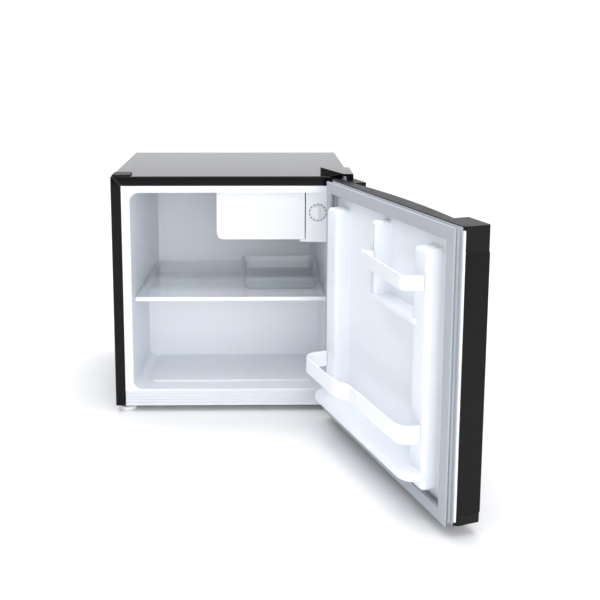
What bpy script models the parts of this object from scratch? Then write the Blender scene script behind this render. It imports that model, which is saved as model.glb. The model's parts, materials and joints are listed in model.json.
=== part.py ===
"""Cube-size table-top refrigerator with its door standing open.

Units are metres and +Z is up. The cabinet is drawn with the middle of its front flange at
X = 0, Y = 0 and the floor at Z = 0, the door is drawn closed in front of it and then turned
open about its hinge pins, and at the end the whole assembly is moved so that the origin is
the middle of the underside of its bounding box.
"""

import math

import bmesh
import bpy
from mathutils import Matrix, Vector

# ---------------------------------------------------------------- driving dimensions
GAP = 0.0003                # between two pieces that touch
FOOT_HEIGHT = 0.013         # floor to the underside of the shell
SHELL_WIDTH = 0.470
SHELL_DEPTH = 0.375
SHELL_HEIGHT = 0.470
SHEET = 0.0012              # steel sheet of the cabinet and door
SHELL_RADIUS = 0.0025
FRAME_SIDE = 0.020          # black front flange beside the mouth
FRAME_TOP = 0.0185          # and over it
MOUTH_WIDTH = 0.3966
MOUTH_TOP = 0.032           # shell top down to the mouth
MOUTH_BOTTOM = 0.035        # shell underside up to the mouth
MOUTH_RADIUS = 0.018
LINER = 0.002
WALL_DRAFT = 0.055          # each side wall leans in by this much per unit of depth
BACK_WALL = 0.040           # liner back to shell back
HUMP_FRONT = 0.193          # flange plane to the step over the compressor
HUMP_HEIGHT = 0.155         # of that step over the floor
FLOOR_PAD_FRONT = 0.042
FLOOR_PAD_WIDTH = 0.326
FLOOR_PAD_RISE = 0.003
BAY_DEPTH = 0.137           # compressor bay, from the back
BAY_HEIGHT = 0.148
SILL_THICKNESS = 0.008
SHELF_RISE = 0.186          # mouth's lower edge up to the top of the shelf
SHELF_FRONT = 0.020
SHELF_LENGTH = 0.300
SHELF_GLASS = 0.004
SHELF_TRIM_HEIGHT = 0.0083
SHELF_TRIM_DEPTH = 0.014
RAIL_REACH = 0.009          # moulded rib under each side of the shelf
RAIL_HEIGHT = 0.008
TRAY_WIDTH = 0.164
TRAY_LENGTH = 0.190
TRAY_HEIGHT = 0.026
TRAY_WALL = 0.002
TRAY_BACKSET = 0.052        # shelf front to tray front
TRAY_FROM_LEFT = 0.018      # right of the cabinet's middle
FLAP_FRONT = 0.050          # flange plane to the front of the ice-box flap
FLAP_WIDTH = 0.1784
FLAP_HEIGHT = 0.097
FLAP_THICKNESS = 0.010
FLAP_WALL = 0.0022
FLAP_RADIUS = 0.014
FLAP_SLIT = 0.0020          # beside the thermostat housing
FLAP_DROP = 0.008           # liner ceiling down to the flap
FLAP_PIN_RADIUS = 0.0022
FLAP_PIN_INSET = 0.0055
ICE_BOX_BEHIND = 0.0035     # flap's back to the ice box, for the flap's heel to turn
ICE_BOX_LENGTH = 0.233
ICE_BOX_WALL = 0.0016
HOUSING_WIDTH = 0.0455
HOUSING_LENGTH = 0.120
HOUSING_HEIGHT = 0.110
HOUSING_WALL = 0.002
LUG_THICKNESS = 0.0045      # hinge lugs over and under the flap
LUG_RADIUS = 0.0045
KNOB_RADIUS = 0.0145
KNOB_THICKNESS = 0.006
KNOB_STEM_RADIUS = 0.003
STEM_CLEARANCE = 0.0005
DOOR_THICKNESS = 0.0456
DOOR_GAP = 0.015            # flange plane to the door, bridged by the gasket
DOOR_RISE = 0.0065          # shell underside to door underside
DOOR_OPEN_ANGLE = math.radians(109.4)
PIN_X = 0.015               # hinge axis in from the cabinet's side
PIN_Y = 0.024               # hinge axis forward of the door's inner face
PIN_RADIUS = 0.0035
TOP_CAP = 0.040
BOTTOM_CAP = 0.016
CAP_END = 0.061             # solid block at each end of the top cap
GRIP_DROP = 0.010           # grip lip lower than the blocks
GRIP_DEPTH = 0.020          # pocket behind the lip
GRIP_LIP = 0.003
GRIP_INNER = 0.020          # wall between pocket and gasket at its ends
GRIP_BULGE = 0.010          # that wall's outward bow at its middle
DOOR_RIM = 0.004            # turned edge of the door liner
GASKET_WIDTH = 0.0215
GASKET_HINGE_INSET = 0.014
GASKET_FREE_INSET = 0.003
GASKET_GROOVE_DEPTH = 0.006
DYKE_REACH = 0.029          # door liner's upright dykes, from its face
DYKE_WIDTH = 0.046
DYKE_INSET = 0.048          # door edge to the outer side of each dyke
DYKE_TOP = 0.043            # door top down to the dykes
DYKE_BOTTOM = 0.0355        # door underside up to the dykes
PARTITION_WIDTH = 0.020
PARTITION_X = 0.006         # left of the door's middle
PARTITION_TOP = 0.033       # door top down to the partition
UPPER_LEDGE_RISE = 0.297    # door underside up to the half-width ledge
UPPER_LEDGE_REACH = 0.033
UPPER_LEDGE_THICKNESS = 0.009
LOWER_LEDGE_RISE = 0.0535
LOWER_LEDGE_REACH = 0.059
LOWER_LEDGE_THICKNESS = 0.014
BAR_THICKNESS = 0.003
LOWER_BAR_RISE = 0.1135     # door underside up to the lower bar
LOWER_BAR_HEIGHT = 0.030
LOWER_BAR_REACH = 0.078     # at the hinge half, from the liner's face
LOWER_BAR_STEP = 0.015      # less at the free half
LOWER_BAR_STEP_FROM = 0.042 # right of the door's middle, where the step starts
LOWER_BAR_STEP_RUN = 0.040
LOWER_BAR_RADIUS = 0.024
UPPER_BAR_RISE = 0.3565
UPPER_BAR_HEIGHT = 0.023
UPPER_BAR_REACH = 0.060
COVER_HEIGHT = 0.012
COVER_WALL = 0.0018
HINGE_PLATE = 0.0025
HINGE_PLATE_REACH = 0.043   # back over the cabinet
FOOT_RADIUS = 0.0165
FOOT_FLANGE = 0.0095
FOOT_STEM_RADIUS = 0.004
FOOT_STEM = 0.020
COMPRESSOR_RADIUS = 0.050
COMPRESSOR_STRETCH = 1.12
COMPRESSOR_HEIGHT = 0.098
COMPRESSOR_X = 0.055
COMPRESSOR_CROWN = 0.030    # height of the domed top
MOUNT_PLATE = 0.0025
GROMMET_HEIGHT = 0.008
PIPE_RADIUS = 0.0025

# ---------------------------------------------------------------- derived places
SHELL_BOTTOM = FOOT_HEIGHT
SHELL_TOP = FOOT_HEIGHT + SHELL_HEIGHT
HALF = SHELL_WIDTH / 2
MOUTH_LOW = SHELL_BOTTOM + MOUTH_BOTTOM
MOUTH_HIGH = SHELL_TOP - MOUTH_TOP
CAVITY_DEPTH = SHELL_DEPTH - BACK_WALL
BAY_FRONT = SHELL_DEPTH - BAY_DEPTH
BAY_TOP = SHELL_BOTTOM + BAY_HEIGHT
SHELF_TOP = MOUTH_LOW + SHELF_RISE
DOOR_INNER = -DOOR_GAP
DOOR_OUTER = -DOOR_GAP - DOOR_THICKNESS
DOOR_BOTTOM = SHELL_BOTTOM + DOOR_RISE
DOOR_TOP = SHELL_TOP
HINGE_X = HALF - PIN_X
HINGE_Y = DOOR_INNER - PIN_Y
BASE_TOP = SHELL_BOTTOM + SHEET

PARTS = bpy.data.collections.new("mini_fridge")
CUTTERS = bpy.data.collections.new("cutters")
PIVOTS = {}


def wall_x(depth):
    """Half width of the cavity at a depth behind the flange plane."""
    return MOUTH_WIDTH / 2 - WALL_DRAFT * depth


# ---------------------------------------------------------------- modelling tools
def clear_scene():
    for old in list(bpy.data.objects):
        bpy.data.objects.remove(old, do_unlink=True)
    bpy.context.scene.collection.children.link(PARTS)
    bpy.context.scene.collection.children.link(CUTTERS)


def solid(name, bm):
    mesh = bpy.data.meshes.new(name)
    bm.to_mesh(mesh)
    bm.free()
    body = bpy.data.objects.new(name, mesh)
    PARTS.objects.link(body)
    return body


def edges_along(bm, letters):
    found = []
    for edge in bm.edges:
        run = edge.verts[1].co - edge.verts[0].co
        axis = "xyz"[max(range(3), key=lambda i: abs(run[i]))]
        if axis in letters:
            found.append(edge)
    return found


def box(name, low, high, radius=0.0, along="", segments=3):
    """Box between two corners; the edges along the given axes are rounded."""
    bm = bmesh.new()
    bmesh.ops.create_cube(bm, size=1.0)
    for vert in bm.verts:
        for i in range(3):
            vert.co[i] = low[i] if vert.co[i] < 0 else high[i]
    if along:
        bmesh.ops.bevel(
            bm,
            geom=edges_along(bm, along),
            offset=radius,
            segments=segments,
            profile=0.5,
            affect="EDGES",
        )
    return solid(name, bm)


def rod(name, start, end, radius, end_radius=None, segments=24):
    """Cylinder, or cone, from one point to another."""
    start = Vector(start)
    run = Vector(end) - start
    bm = bmesh.new()
    bmesh.ops.create_cone(
        bm,
        cap_ends=True,
        segments=segments,
        radius1=radius,
        radius2=radius if end_radius is None else end_radius,
        depth=run.length,
    )
    turn = run.to_track_quat("Z", "Y").to_matrix().to_4x4()
    bm.transform(Matrix.Translation(start + run / 2) @ turn)
    body = solid(name, bm)
    body.data.shade_smooth()
    body.data.set_sharp_from_angle(angle=math.radians(40))
    return body


def as_mesh(curve):
    """Replace a curve object by the mesh that it makes, with its caps welded."""
    graph = bpy.context.evaluated_depsgraph_get()
    mesh = bpy.data.meshes.new_from_object(curve.evaluated_get(graph))
    bm = bmesh.new()
    bm.from_mesh(mesh)
    bmesh.ops.remove_doubles(bm, verts=bm.verts, dist=1e-6)
    bmesh.ops.recalc_face_normals(bm, faces=bm.faces)
    bm.to_mesh(mesh)
    bm.free()
    name = curve.name
    place = curve.matrix_world.copy()
    bpy.data.objects.remove(curve)
    body = bpy.data.objects.new(name, mesh)
    body.matrix_world = place
    PARTS.objects.link(body)
    return body


def plate(name, outline, low, high):
    """Flat outline in X and Y, extruded from one height to another."""
    curve = bpy.data.curves.new(name, "CURVE")
    curve.dimensions = "2D"
    curve.fill_mode = "BOTH"
    curve.extrude = (high - low) / 2
    spline = curve.splines.new("POLY")
    spline.points.add(len(outline) - 1)
    for point, (x, y) in zip(spline.points, outline):
        point.co = (x, y, 0.0, 1.0)
    spline.use_cyclic_u = True
    body = bpy.data.objects.new(name, curve)
    body.location.z = (low + high) / 2
    PARTS.objects.link(body)
    bpy.context.view_layer.update()
    body = as_mesh(body)
    body.data.transform(body.matrix_world)
    body.matrix_world = Matrix()
    return body


def tube(name, points, radius):
    """Wire or pipe through a list of points."""
    curve = bpy.data.curves.new(name, "CURVE")
    curve.dimensions = "3D"
    curve.bevel_depth = radius
    curve.bevel_resolution = 2
    curve.use_fill_caps = True
    spline = curve.splines.new("POLY")
    spline.points.add(len(points) - 1)
    for point, place in zip(spline.points, points):
        point.co = (*place, 1.0)
    body = bpy.data.objects.new(name, curve)
    PARTS.objects.link(body)
    return body


def turned(name, centre, profile, steps=28):
    """Turned solid: radius and height pairs from the top of the outside down, about Z."""
    bm = bmesh.new()
    verts = [bm.verts.new((radius, 0.0, height)) for radius, height in profile]
    for first, second in zip(verts, verts[1:]):
        bm.edges.new((first, second))
    body = solid(name, bm)
    body.location = centre
    screw = body.modifiers.new("turn", "SCREW")
    screw.axis = "Z"
    screw.steps = steps
    screw.render_steps = steps
    screw.use_merge_vertices = True
    screw.merge_threshold = 0.00005
    return body


def boolean(body, operation, tools):
    for tool in tools:
        step = body.modifiers.new(tool.name, "BOOLEAN")
        step.operation = operation
        step.object = tool
        if tool.name in PARTS.objects:
            PARTS.objects.unlink(tool)
            CUTTERS.objects.link(tool)
        tool.hide_render = True
        tool.display_type = "WIRE"
    return body


def cut(body, *tools):
    return boolean(body, "DIFFERENCE", tools)


def join(body, *tools):
    return boolean(body, "UNION", tools)


def keep_inside(body, tool):
    return boolean(body, "INTERSECT", [tool])


def arc(centre, radius, start, end, steps):
    """Points of an arc in X and Y, with its angles in degrees."""
    points = []
    for i in range(steps + 1):
        angle = math.radians(start + (end - start) * i / steps)
        points.append((centre[0] + radius * math.cos(angle), centre[1] + radius * math.sin(angle)))
    return points


def material(name, colour, roughness, metallic=0.0, alpha=1.0):
    made = bpy.data.materials.new(name)
    made.use_nodes = True
    shader = made.node_tree.nodes["Principled BSDF"]
    shader.inputs["Base Color"].default_value = (*colour, 1.0)
    shader.inputs["Roughness"].default_value = roughness
    shader.inputs["Metallic"].default_value = metallic
    shader.inputs["Alpha"].default_value = alpha
    return made


def paint(finish, *pieces):
    for piece in pieces:
        piece.data.materials.clear()
        piece.data.materials.append(finish)


def pivot(name, place, turn=0.0):
    """Empty that a moving group hangs on, standing on the group's joint axis."""
    empty = bpy.data.objects.new(name, None)
    empty.location = place
    empty.rotation_euler.z = turn
    PARTS.objects.link(empty)
    PIVOTS[name] = Vector(place)
    return empty


def carry(empty, *pieces):
    """Hang pieces, and the tools that shape them, on a pivot without moving them."""
    for piece in pieces:
        piece.parent = empty
        piece.matrix_parent_inverse = Matrix.Translation(-PIVOTS[empty.name])
        tools = [step.object for step in piece.modifiers if step.type == "BOOLEAN"]
        carry(empty, *tools)


# ---------------------------------------------------------------- cabinet
def cavity(name, grow=0.0, lead=0.02):
    """Solid of the food space, or of that space grown on every side.

    The side walls lean in towards the back, and the step over the compressor is left out.
    """
    front = -lead
    back = CAVITY_DEPTH + grow
    low = MOUTH_LOW - grow
    high = MOUTH_HIGH + grow
    bm = bmesh.new()
    bmesh.ops.create_cube(bm, size=1.0)
    for vert in bm.verts:
        y = front if vert.co.y < 0 else back
        x = wall_x(y) + grow
        vert.co = Vector((math.copysign(x, vert.co.x), y, low if vert.co.z < 0 else high))
    bmesh.ops.bevel(
        bm,
        geom=edges_along(bm, "y"),
        offset=MOUTH_RADIUS + grow,
        segments=8,
        profile=0.5,
        affect="EDGES",
    )
    space = solid(name, bm)
    hump_top = MOUTH_LOW + HUMP_HEIGHT - grow
    hump = box(
        name + "_hump",
        (-HALF, HUMP_FRONT + grow, SHELL_BOTTOM - 0.02),
        (HALF, SHELL_DEPTH + 0.02, hump_top),
        radius=0.012,
        along="x",
        segments=5,
    )
    return cut(space, hump)


def make_wrap():
    """Bent steel wrap: both sides, the top and the front flange round the mouth."""
    wrap = box(
        "cabinet_wrap",
        (-HALF, 0.0, SHELL_BOTTOM - 0.01),
        (HALF, SHELL_DEPTH + 0.01, SHELL_TOP),
        radius=SHELL_RADIUS,
        along="xyz",
        segments=2,
    )
    reach = SHELL_WIDTH
    below = box(
        "wrap_trim_below",
        (-reach, -reach, -0.05),
        (reach, reach, SHELL_BOTTOM),
    )
    behind = box(
        "wrap_trim_behind",
        (-reach, SHELL_DEPTH, -0.04),
        (reach, reach + 0.01, SHELL_TOP + 0.05),
    )
    inside = box(
        "wrap_inside",
        (-HALF + SHEET, SHEET, SHELL_BOTTOM - 0.02),
        (HALF - SHEET, SHELL_DEPTH + 0.02, SHELL_TOP - SHEET),
        radius=SHELL_RADIUS - SHEET,
        along="y",
        segments=2,
    )
    window = box(
        "wrap_window",
        (-HALF + FRAME_SIDE, -0.02, SHELL_BOTTOM - 0.02),
        (HALF - FRAME_SIDE, 0.02, SHELL_TOP - FRAME_TOP),
    )
    cut(wrap, inside, window, below, behind)
    paint(BLACK_STEEL, wrap)
    return wrap


def make_back_panel():
    inset = SHEET + GAP
    panel = box(
        "back_panel",
        (-HALF + inset, SHELL_DEPTH - SHEET, BAY_TOP + GAP),
        (HALF - inset, SHELL_DEPTH, SHELL_TOP - inset),
        radius=SHELL_RADIUS,
        along="y",
        segments=2,
    )
    paint(DARK_STEEL, panel)
    return panel


def make_base_plate():
    inset = SHEET + GAP
    base = box(
        "base_plate",
        (-HALF + inset, SILL_THICKNESS + GAP, SHELL_BOTTOM),
        (HALF - inset, BAY_FRONT - SHEET - GAP, BASE_TOP),
    )
    holes = []
    for side in (-1, 1):
        x = side * foot_x()
        hole = rod(
            f"base_hole_{side}",
            (x, FOOT_RADIUS + GAP, 0.0),
            (x, FOOT_RADIUS + GAP, SHELL_BOTTOM + 0.02),
            FOOT_STEM_RADIUS + GAP,
        )
        holes.append(hole)
    cut(base, *holes)
    paint(ZINC_STEEL, base)
    return base


def make_bay_panel():
    """Bent sheet that closes the foam off from the compressor bay."""
    inset = SHEET + GAP
    panel = box(
        "compressor_bay_panel",
        (-HALF + inset, BAY_FRONT - SHEET, SHELL_BOTTOM),
        (HALF - inset, SHELL_DEPTH - 0.0100, BAY_TOP),
    )
    bay = box(
        "bay_space",
        (-HALF, BAY_FRONT, SHELL_BOTTOM - 0.02),
        (HALF, SHELL_DEPTH + 0.02, BAY_TOP - SHEET),
    )
    cut(panel, bay, drain_hole("bay_drain_hole"), suction_hole("bay_suction_hole"))
    paint(ZINC_STEEL, panel)
    return panel


def drain_place():
    return (0.0, CAVITY_DEPTH - 0.030)


def drain_hole(name, radius=0.0055):
    x, y = drain_place()
    return rod(name, (x, y, BAY_TOP - 0.02), (x, y, MOUTH_LOW + HUMP_HEIGHT + 0.02), radius)


def suction_place():
    return (HINGE_X - 0.150, CAVITY_DEPTH + LINER + 0.012)


def suction_hole(name):
    x, y = suction_place()
    return rod(name, (x, y, BAY_TOP - 0.02), (x, y, suction_height() + 0.006), 0.006, segments=16)


def suction_height():
    return MOUTH_HIGH - 0.045


def suction_entry(name):
    x, y = suction_place()
    z = suction_height()
    return rod(name, (x, y + 0.006, z), (x, CAVITY_DEPTH - 0.02, z), 0.006, segments=16)


def make_foam():
    """Rigid foam between the wrap and the liner, stood off the back for the condenser."""
    inset = SHEET + GAP
    foam = box(
        "foam_insulation",
        (-HALF + inset, SILL_THICKNESS + GAP, BASE_TOP + GAP),
        (HALF - inset, SHELL_DEPTH - 0.0100, SHELL_TOP - inset),
        radius=SHELL_RADIUS,
        along="y",
        segments=2,
    )
    space = cavity("foam_cavity", LINER + GAP)
    bay = box(
        "foam_bay",
        (-HALF, BAY_FRONT - SHEET - GAP, SHELL_BOTTOM - 0.02),
        (HALF, SHELL_DEPTH, BAY_TOP + GAP),
    )
    stems = []
    for side in (-1, 1):
        x = side * foot_x()
        stem = rod(
            f"foam_stem_{side}",
            (x, FOOT_RADIUS + GAP, SHELL_BOTTOM - 0.01),
            (x, FOOT_RADIUS + GAP, FOOT_FLANGE + FOOT_STEM + 0.004),
            FOOT_STEM_RADIUS + GAP,
        )
        stems.append(stem)
    cut(foam, space, bay, *stems)
    cut(foam, drain_hole("foam_drain_hole"), suction_hole("foam_suction_hole"))
    cut(foam, suction_entry("foam_suction_entry"))
    paint(FOAM, foam)
    return foam


def make_liner():
    """Thin moulded liner: white border round the mouth, drafted walls, floor pad, shelf ribs."""
    liner = cavity("inner_liner", LINER, lead=-GAP)
    border = box(
        "liner_border",
        (-HALF + FRAME_SIDE + GAP, GAP, MOUTH_LOW - 0.0040),
        (HALF - FRAME_SIDE - GAP, SILL_THICKNESS, SHELL_TOP - FRAME_TOP - GAP),
    )
    join(liner, border)
    cut(liner, cavity("liner_cavity"))
    pad = box(
        "liner_floor_pad",
        (-FLOOR_PAD_WIDTH / 2, FLOOR_PAD_FRONT, MOUTH_LOW - LINER / 2),
        (FLOOR_PAD_WIDTH / 2, HUMP_FRONT + LINER / 2, MOUTH_LOW + FLOOR_PAD_RISE),
    )
    join(liner, pad)
    for side in (-1, 1):
        join(liner, shelf_rib(f"liner_rib_{side}", side))
    cut(liner, drain_hole("liner_drain_hole"), suction_entry("liner_suction_entry"))
    paint(WHITE_LINER, liner)
    return liner


def shelf_rib(name, side):
    """Rib on a side wall that the shelf slides on."""
    front = SHELF_FRONT + SHELF_TRIM_DEPTH + 0.004
    back = SHELF_FRONT + SHELF_LENGTH
    high = SHELF_TOP - SHELF_GLASS - GAP
    outer = LINER / 2
    outline = [
        (side * (wall_x(front) + outer), front),
        (side * (wall_x(back) + outer), back),
        (side * (wall_x(back) - RAIL_REACH), back),
        (side * (wall_x(front) - RAIL_REACH), front),
    ]
    return plate(name, outline, high - RAIL_HEIGHT, high)


def make_sill():
    """Pale sill under the mouth, grooved along its length."""
    half = HALF - FRAME_SIDE - GAP
    top = MOUTH_LOW - 0.0040 - GAP
    sill = box("front_sill", (-half, GAP, SHELL_BOTTOM), (half, SILL_THICKNESS, top))
    groove = 0.0016
    for i in range(4):
        z = SHELL_BOTTOM + 0.006 + i * 0.006
        cut(
            sill,
            box(f"sill_groove_{i}", (-half - 0.01, -0.01, z), (half + 0.01, groove, z + 0.0022)),
        )
    paint(PALE_PLASTIC, sill)
    return sill


def corner_outline(side, width, depth):
    outer = side * (HALF - SHELL_RADIUS)
    inner = side * (HALF - width)
    return [(inner, SHELL_RADIUS), (outer, SHELL_RADIUS), (outer, depth), (inner, depth)]


def make_corner_cap():
    """Matte cap on the free front corner of the top, which matches the hinge cover."""
    low = SHELL_TOP + GAP
    cap = plate("corner_cap_left", corner_outline(-1, 0.038, 0.041), low, low + 0.003)
    paint(MATTE_BLACK, cap)
    return cap


# ---------------------------------------------------------------- hinges
def screw(name, x, y, under_head, length, head_up=True):
    """Pan-head screw, its head above or below the plate that it holds."""
    way = 1 if head_up else -1
    body = rod(name, (x, y, under_head), (x, y, under_head + way * 0.0022), 0.0038, 0.0028, 16)
    shank = rod(
        name + "_shank",
        (x, y, under_head + way * 0.0005),
        (x, y, under_head - way * length),
        0.0019,
        segments=12,
    )
    join(body, shank)
    paint(ZINC_STEEL, body)
    return body


def hinge_outline():
    """Hinge plate: a foot on the cabinet and a rounded arm out over the door."""
    back = HINGE_PLATE_REACH - 0.006
    left = HALF - 0.048
    right = HALF - 0.004
    arm = arc((HINGE_X, HINGE_Y), 0.0065, 180, 360, 8)
    aslant = [(left, 0.030), (left + 0.008, 0.012), (left + 0.027, HINGE_Y + 0.009)]
    return [(left, back), *aslant, *arm, (right, -0.006), (right, back)]


def hinge_screw_places():
    return [(HALF - 0.040, 0.026), (HALF - 0.014, 0.026)]


def make_top_hinge():
    low = SHELL_TOP + GAP
    high = low + HINGE_PLATE
    bracket = plate("top_hinge_plate", hinge_outline(), low, high)
    pin_hole = rod(
        "top_pin_hole",
        (HINGE_X, HINGE_Y, low - 0.01),
        (HINGE_X, HINGE_Y, high + 0.01),
        PIN_RADIUS + GAP,
    )
    cut(bracket, pin_hole)
    screws = []
    for i, (x, y) in enumerate(hinge_screw_places()):
        hole = rod(f"top_screw_hole_{i}", (x, y, low - 0.01), (x, y, high + 0.01), 0.0022)
        cut(bracket, hole)
        screws.append(screw(f"top_hinge_screw_{i + 1}", x, y, high + GAP, HINGE_PLATE + 0.0002))
    paint(ZINC_STEEL, bracket)
    pin = rod(
        "top_hinge_pin",
        (HINGE_X, HINGE_Y, DOOR_TOP - 0.018),
        (HINGE_X, HINGE_Y, high + 0.0030),
        PIN_RADIUS,
    )
    head = rod(
        "top_pin_head",
        (HINGE_X, HINGE_Y, high + GAP),
        (HINGE_X, HINGE_Y, high + 0.0040),
        PIN_RADIUS + 0.0015,
    )
    join(pin, head)
    paint(ZINC_STEEL, pin)
    return [bracket, pin, *screws]


def cover_outline(inset):
    """Hinge cover seen from above: one long face runs aslant from cabinet to pin."""
    back = HINGE_PLATE_REACH - inset
    right = HALF - GAP - inset
    front = HINGE_Y - 0.009 + inset
    left = HALF - 0.057 + inset * 1.6
    nose = HINGE_X - 0.004 + inset * 1.2
    return [(left, back), (nose, front), (right, front), (right, back)]


def make_hinge_cover():
    low = SHELL_TOP + GAP
    high = SHELL_TOP + COVER_HEIGHT
    cover = plate("top_hinge_cover", cover_outline(0.0), low, high)
    inside = plate("cover_inside", cover_outline(COVER_WALL), low - 0.01, high - COVER_WALL)
    notch = rod(
        "cover_notch",
        (HINGE_X, HINGE_Y, low - 0.01),
        (HINGE_X, HINGE_Y, low + 0.0078),
        0.0095,
    )
    cut(cover, inside, notch)
    paint(BLACK_STEEL, cover)
    return cover


def make_bottom_hinge():
    high = SHELL_BOTTOM - GAP
    low = high - HINGE_PLATE
    bracket = plate("bottom_hinge_plate", hinge_outline(), low, high)
    stem_hole = rod(
        "bracket_stem_hole",
        (foot_x(), FOOT_RADIUS + GAP, low - 0.01),
        (foot_x(), FOOT_RADIUS + GAP, high + 0.01),
        FOOT_STEM_RADIUS + GAP,
    )
    pin_hole = rod(
        "bottom_pin_hole",
        (HINGE_X, HINGE_Y, low - 0.01),
        (HINGE_X, HINGE_Y, high + 0.01),
        PIN_RADIUS + GAP,
    )
    cut(bracket, stem_hole, pin_hole)
    x, y = HALF - 0.041, HINGE_PLATE_REACH - 0.011
    cut(bracket, rod("bottom_screw_hole", (x, y, low - 0.01), (x, y, high + 0.01), 0.0022))
    fixing = screw("bottom_hinge_screw", x, y, low - GAP, HINGE_PLATE + 0.0002, head_up=False)
    paint(ZINC_STEEL, bracket)
    pin = rod(
        "bottom_hinge_pin",
        (HINGE_X, HINGE_Y, low),
        (HINGE_X, HINGE_Y, DOOR_BOTTOM + 0.013),
        PIN_RADIUS,
    )
    collar = rod(
        "bottom_pin_collar",
        (HINGE_X, HINGE_Y, high + GAP),
        (HINGE_X, HINGE_Y, DOOR_BOTTOM - GAP),
        PIN_RADIUS + 0.003,
    )
    join(pin, collar)
    paint(ZINC_STEEL, pin)
    return [bracket, pin, fixing]


# ---------------------------------------------------------------- feet
def foot_x():
    return HALF - FOOT_RADIUS - 0.0065


def make_front_foot(name, side):
    """Levelling foot: a ribbed disc on a threaded stem."""
    x = side * foot_x()
    y = FOOT_RADIUS + GAP
    rim = FOOT_RADIUS
    profile = [
        (0.0, FOOT_FLANGE + FOOT_STEM),
        (FOOT_STEM_RADIUS, FOOT_FLANGE + FOOT_STEM),
        (FOOT_STEM_RADIUS, FOOT_FLANGE),
        (rim - 0.001, FOOT_FLANGE),
        (rim, FOOT_FLANGE - 0.001),
        (rim, 0.0025),
        (rim - 0.0015, 0.0),
        (0.0, 0.0),
    ]
    foot = turned(name, (x, y, 0.0), profile)
    paint(PALE_PLASTIC, foot)
    return foot


def make_rear_foot(name, side):
    x = side * (HALF - 0.040)
    y = SHELL_DEPTH - 0.025
    top = SHELL_BOTTOM - GAP
    profile = [(0.0, top), (0.0135, top), (0.0120, 0.001), (0.0110, 0.0), (0.0, 0.0)]
    foot = turned(name, (x, y, 0.0), profile, steps=20)
    paint(RUBBER, foot)
    return foot


# ---------------------------------------------------------------- inside the cabinet
def make_shelf():
    """Clear plate that follows the drafted walls, its front edge bedded in a white angle trim."""
    slack = 0.0030
    back = SHELF_FRONT + SHELF_LENGTH
    start = SHELF_FRONT + 0.0030
    outline = [
        (-wall_x(start) + slack, start),
        (wall_x(start) - slack, start),
        (wall_x(back) - slack, back),
        (-wall_x(back) + slack, back),
    ]
    glass = plate("shelf_glass", outline, SHELF_TOP - SHELF_GLASS, SHELF_TOP)
    paint(CLEAR, glass)
    end = SHELF_FRONT + SHELF_TRIM_DEPTH
    half = wall_x(end) - slack
    trim = box(
        "shelf_trim",
        (-half, SHELF_FRONT, SHELF_TOP - SHELF_TRIM_HEIGHT),
        (half, end, SHELF_TOP),
        radius=0.0012,
        along="x",
        segments=2,
    )
    slot = box(
        "trim_slot",
        (-HALF, start - GAP, SHELF_TOP - SHELF_GLASS - GAP),
        (HALF, end + 0.01, SHELF_TOP + 0.01),
    )
    cut(trim, slot)
    paint(WHITE_LINER, trim)
    return [glass, trim]


def make_drip_tray():
    """Shallow clear tray with sloped sides."""
    low = SHELF_TOP + GAP
    high = low + TRAY_HEIGHT
    left = TRAY_FROM_LEFT
    right = left + TRAY_WIDTH
    front = SHELF_FRONT + TRAY_BACKSET
    back = front + TRAY_LENGTH
    slope = 0.007
    tray = sloped_box("drip_tray", (left, front), (right, back), low, high, slope, 0.012)
    inside = sloped_box(
        "tray_inside",
        (left + TRAY_WALL, front + TRAY_WALL),
        (right - TRAY_WALL, back - TRAY_WALL),
        low + TRAY_WALL,
        high + 0.002,
        slope * (TRAY_HEIGHT + 0.002 - TRAY_WALL) / TRAY_HEIGHT,
        0.011,
    )
    cut(tray, inside)
    paint(CLEAR, tray)
    return tray


def sloped_box(name, near, far, low, high, slope, radius):
    """Box whose floor is smaller than its top by a slope on each side."""
    bm = bmesh.new()
    bmesh.ops.create_cube(bm, size=1.0)
    for vert in bm.verts:
        in_by = slope if vert.co.z < 0 else 0.0
        x = near[0] + in_by if vert.co.x < 0 else far[0] - in_by
        y = near[1] + in_by if vert.co.y < 0 else far[1] - in_by
        vert.co = Vector((x, y, low if vert.co.z < 0 else high))
    bmesh.ops.bevel(
        bm,
        geom=edges_along(bm, "z"),
        offset=radius,
        segments=3,
        profile=0.5,
        affect="EDGES",
    )
    return solid(name, bm)


def housing_left():
    return wall_x(FLAP_FRONT) - HOUSING_WIDTH


def flap_right():
    return housing_left() - FLAP_SLIT


def flap_left():
    return flap_right() - FLAP_WIDTH


def flap_low():
    return flap_high() - FLAP_HEIGHT


def flap_high():
    return MOUTH_HIGH - FLAP_DROP


def flap_axis():
    return (flap_right() - FLAP_PIN_INSET, FLAP_FRONT + FLAP_THICKNESS / 2)


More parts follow.
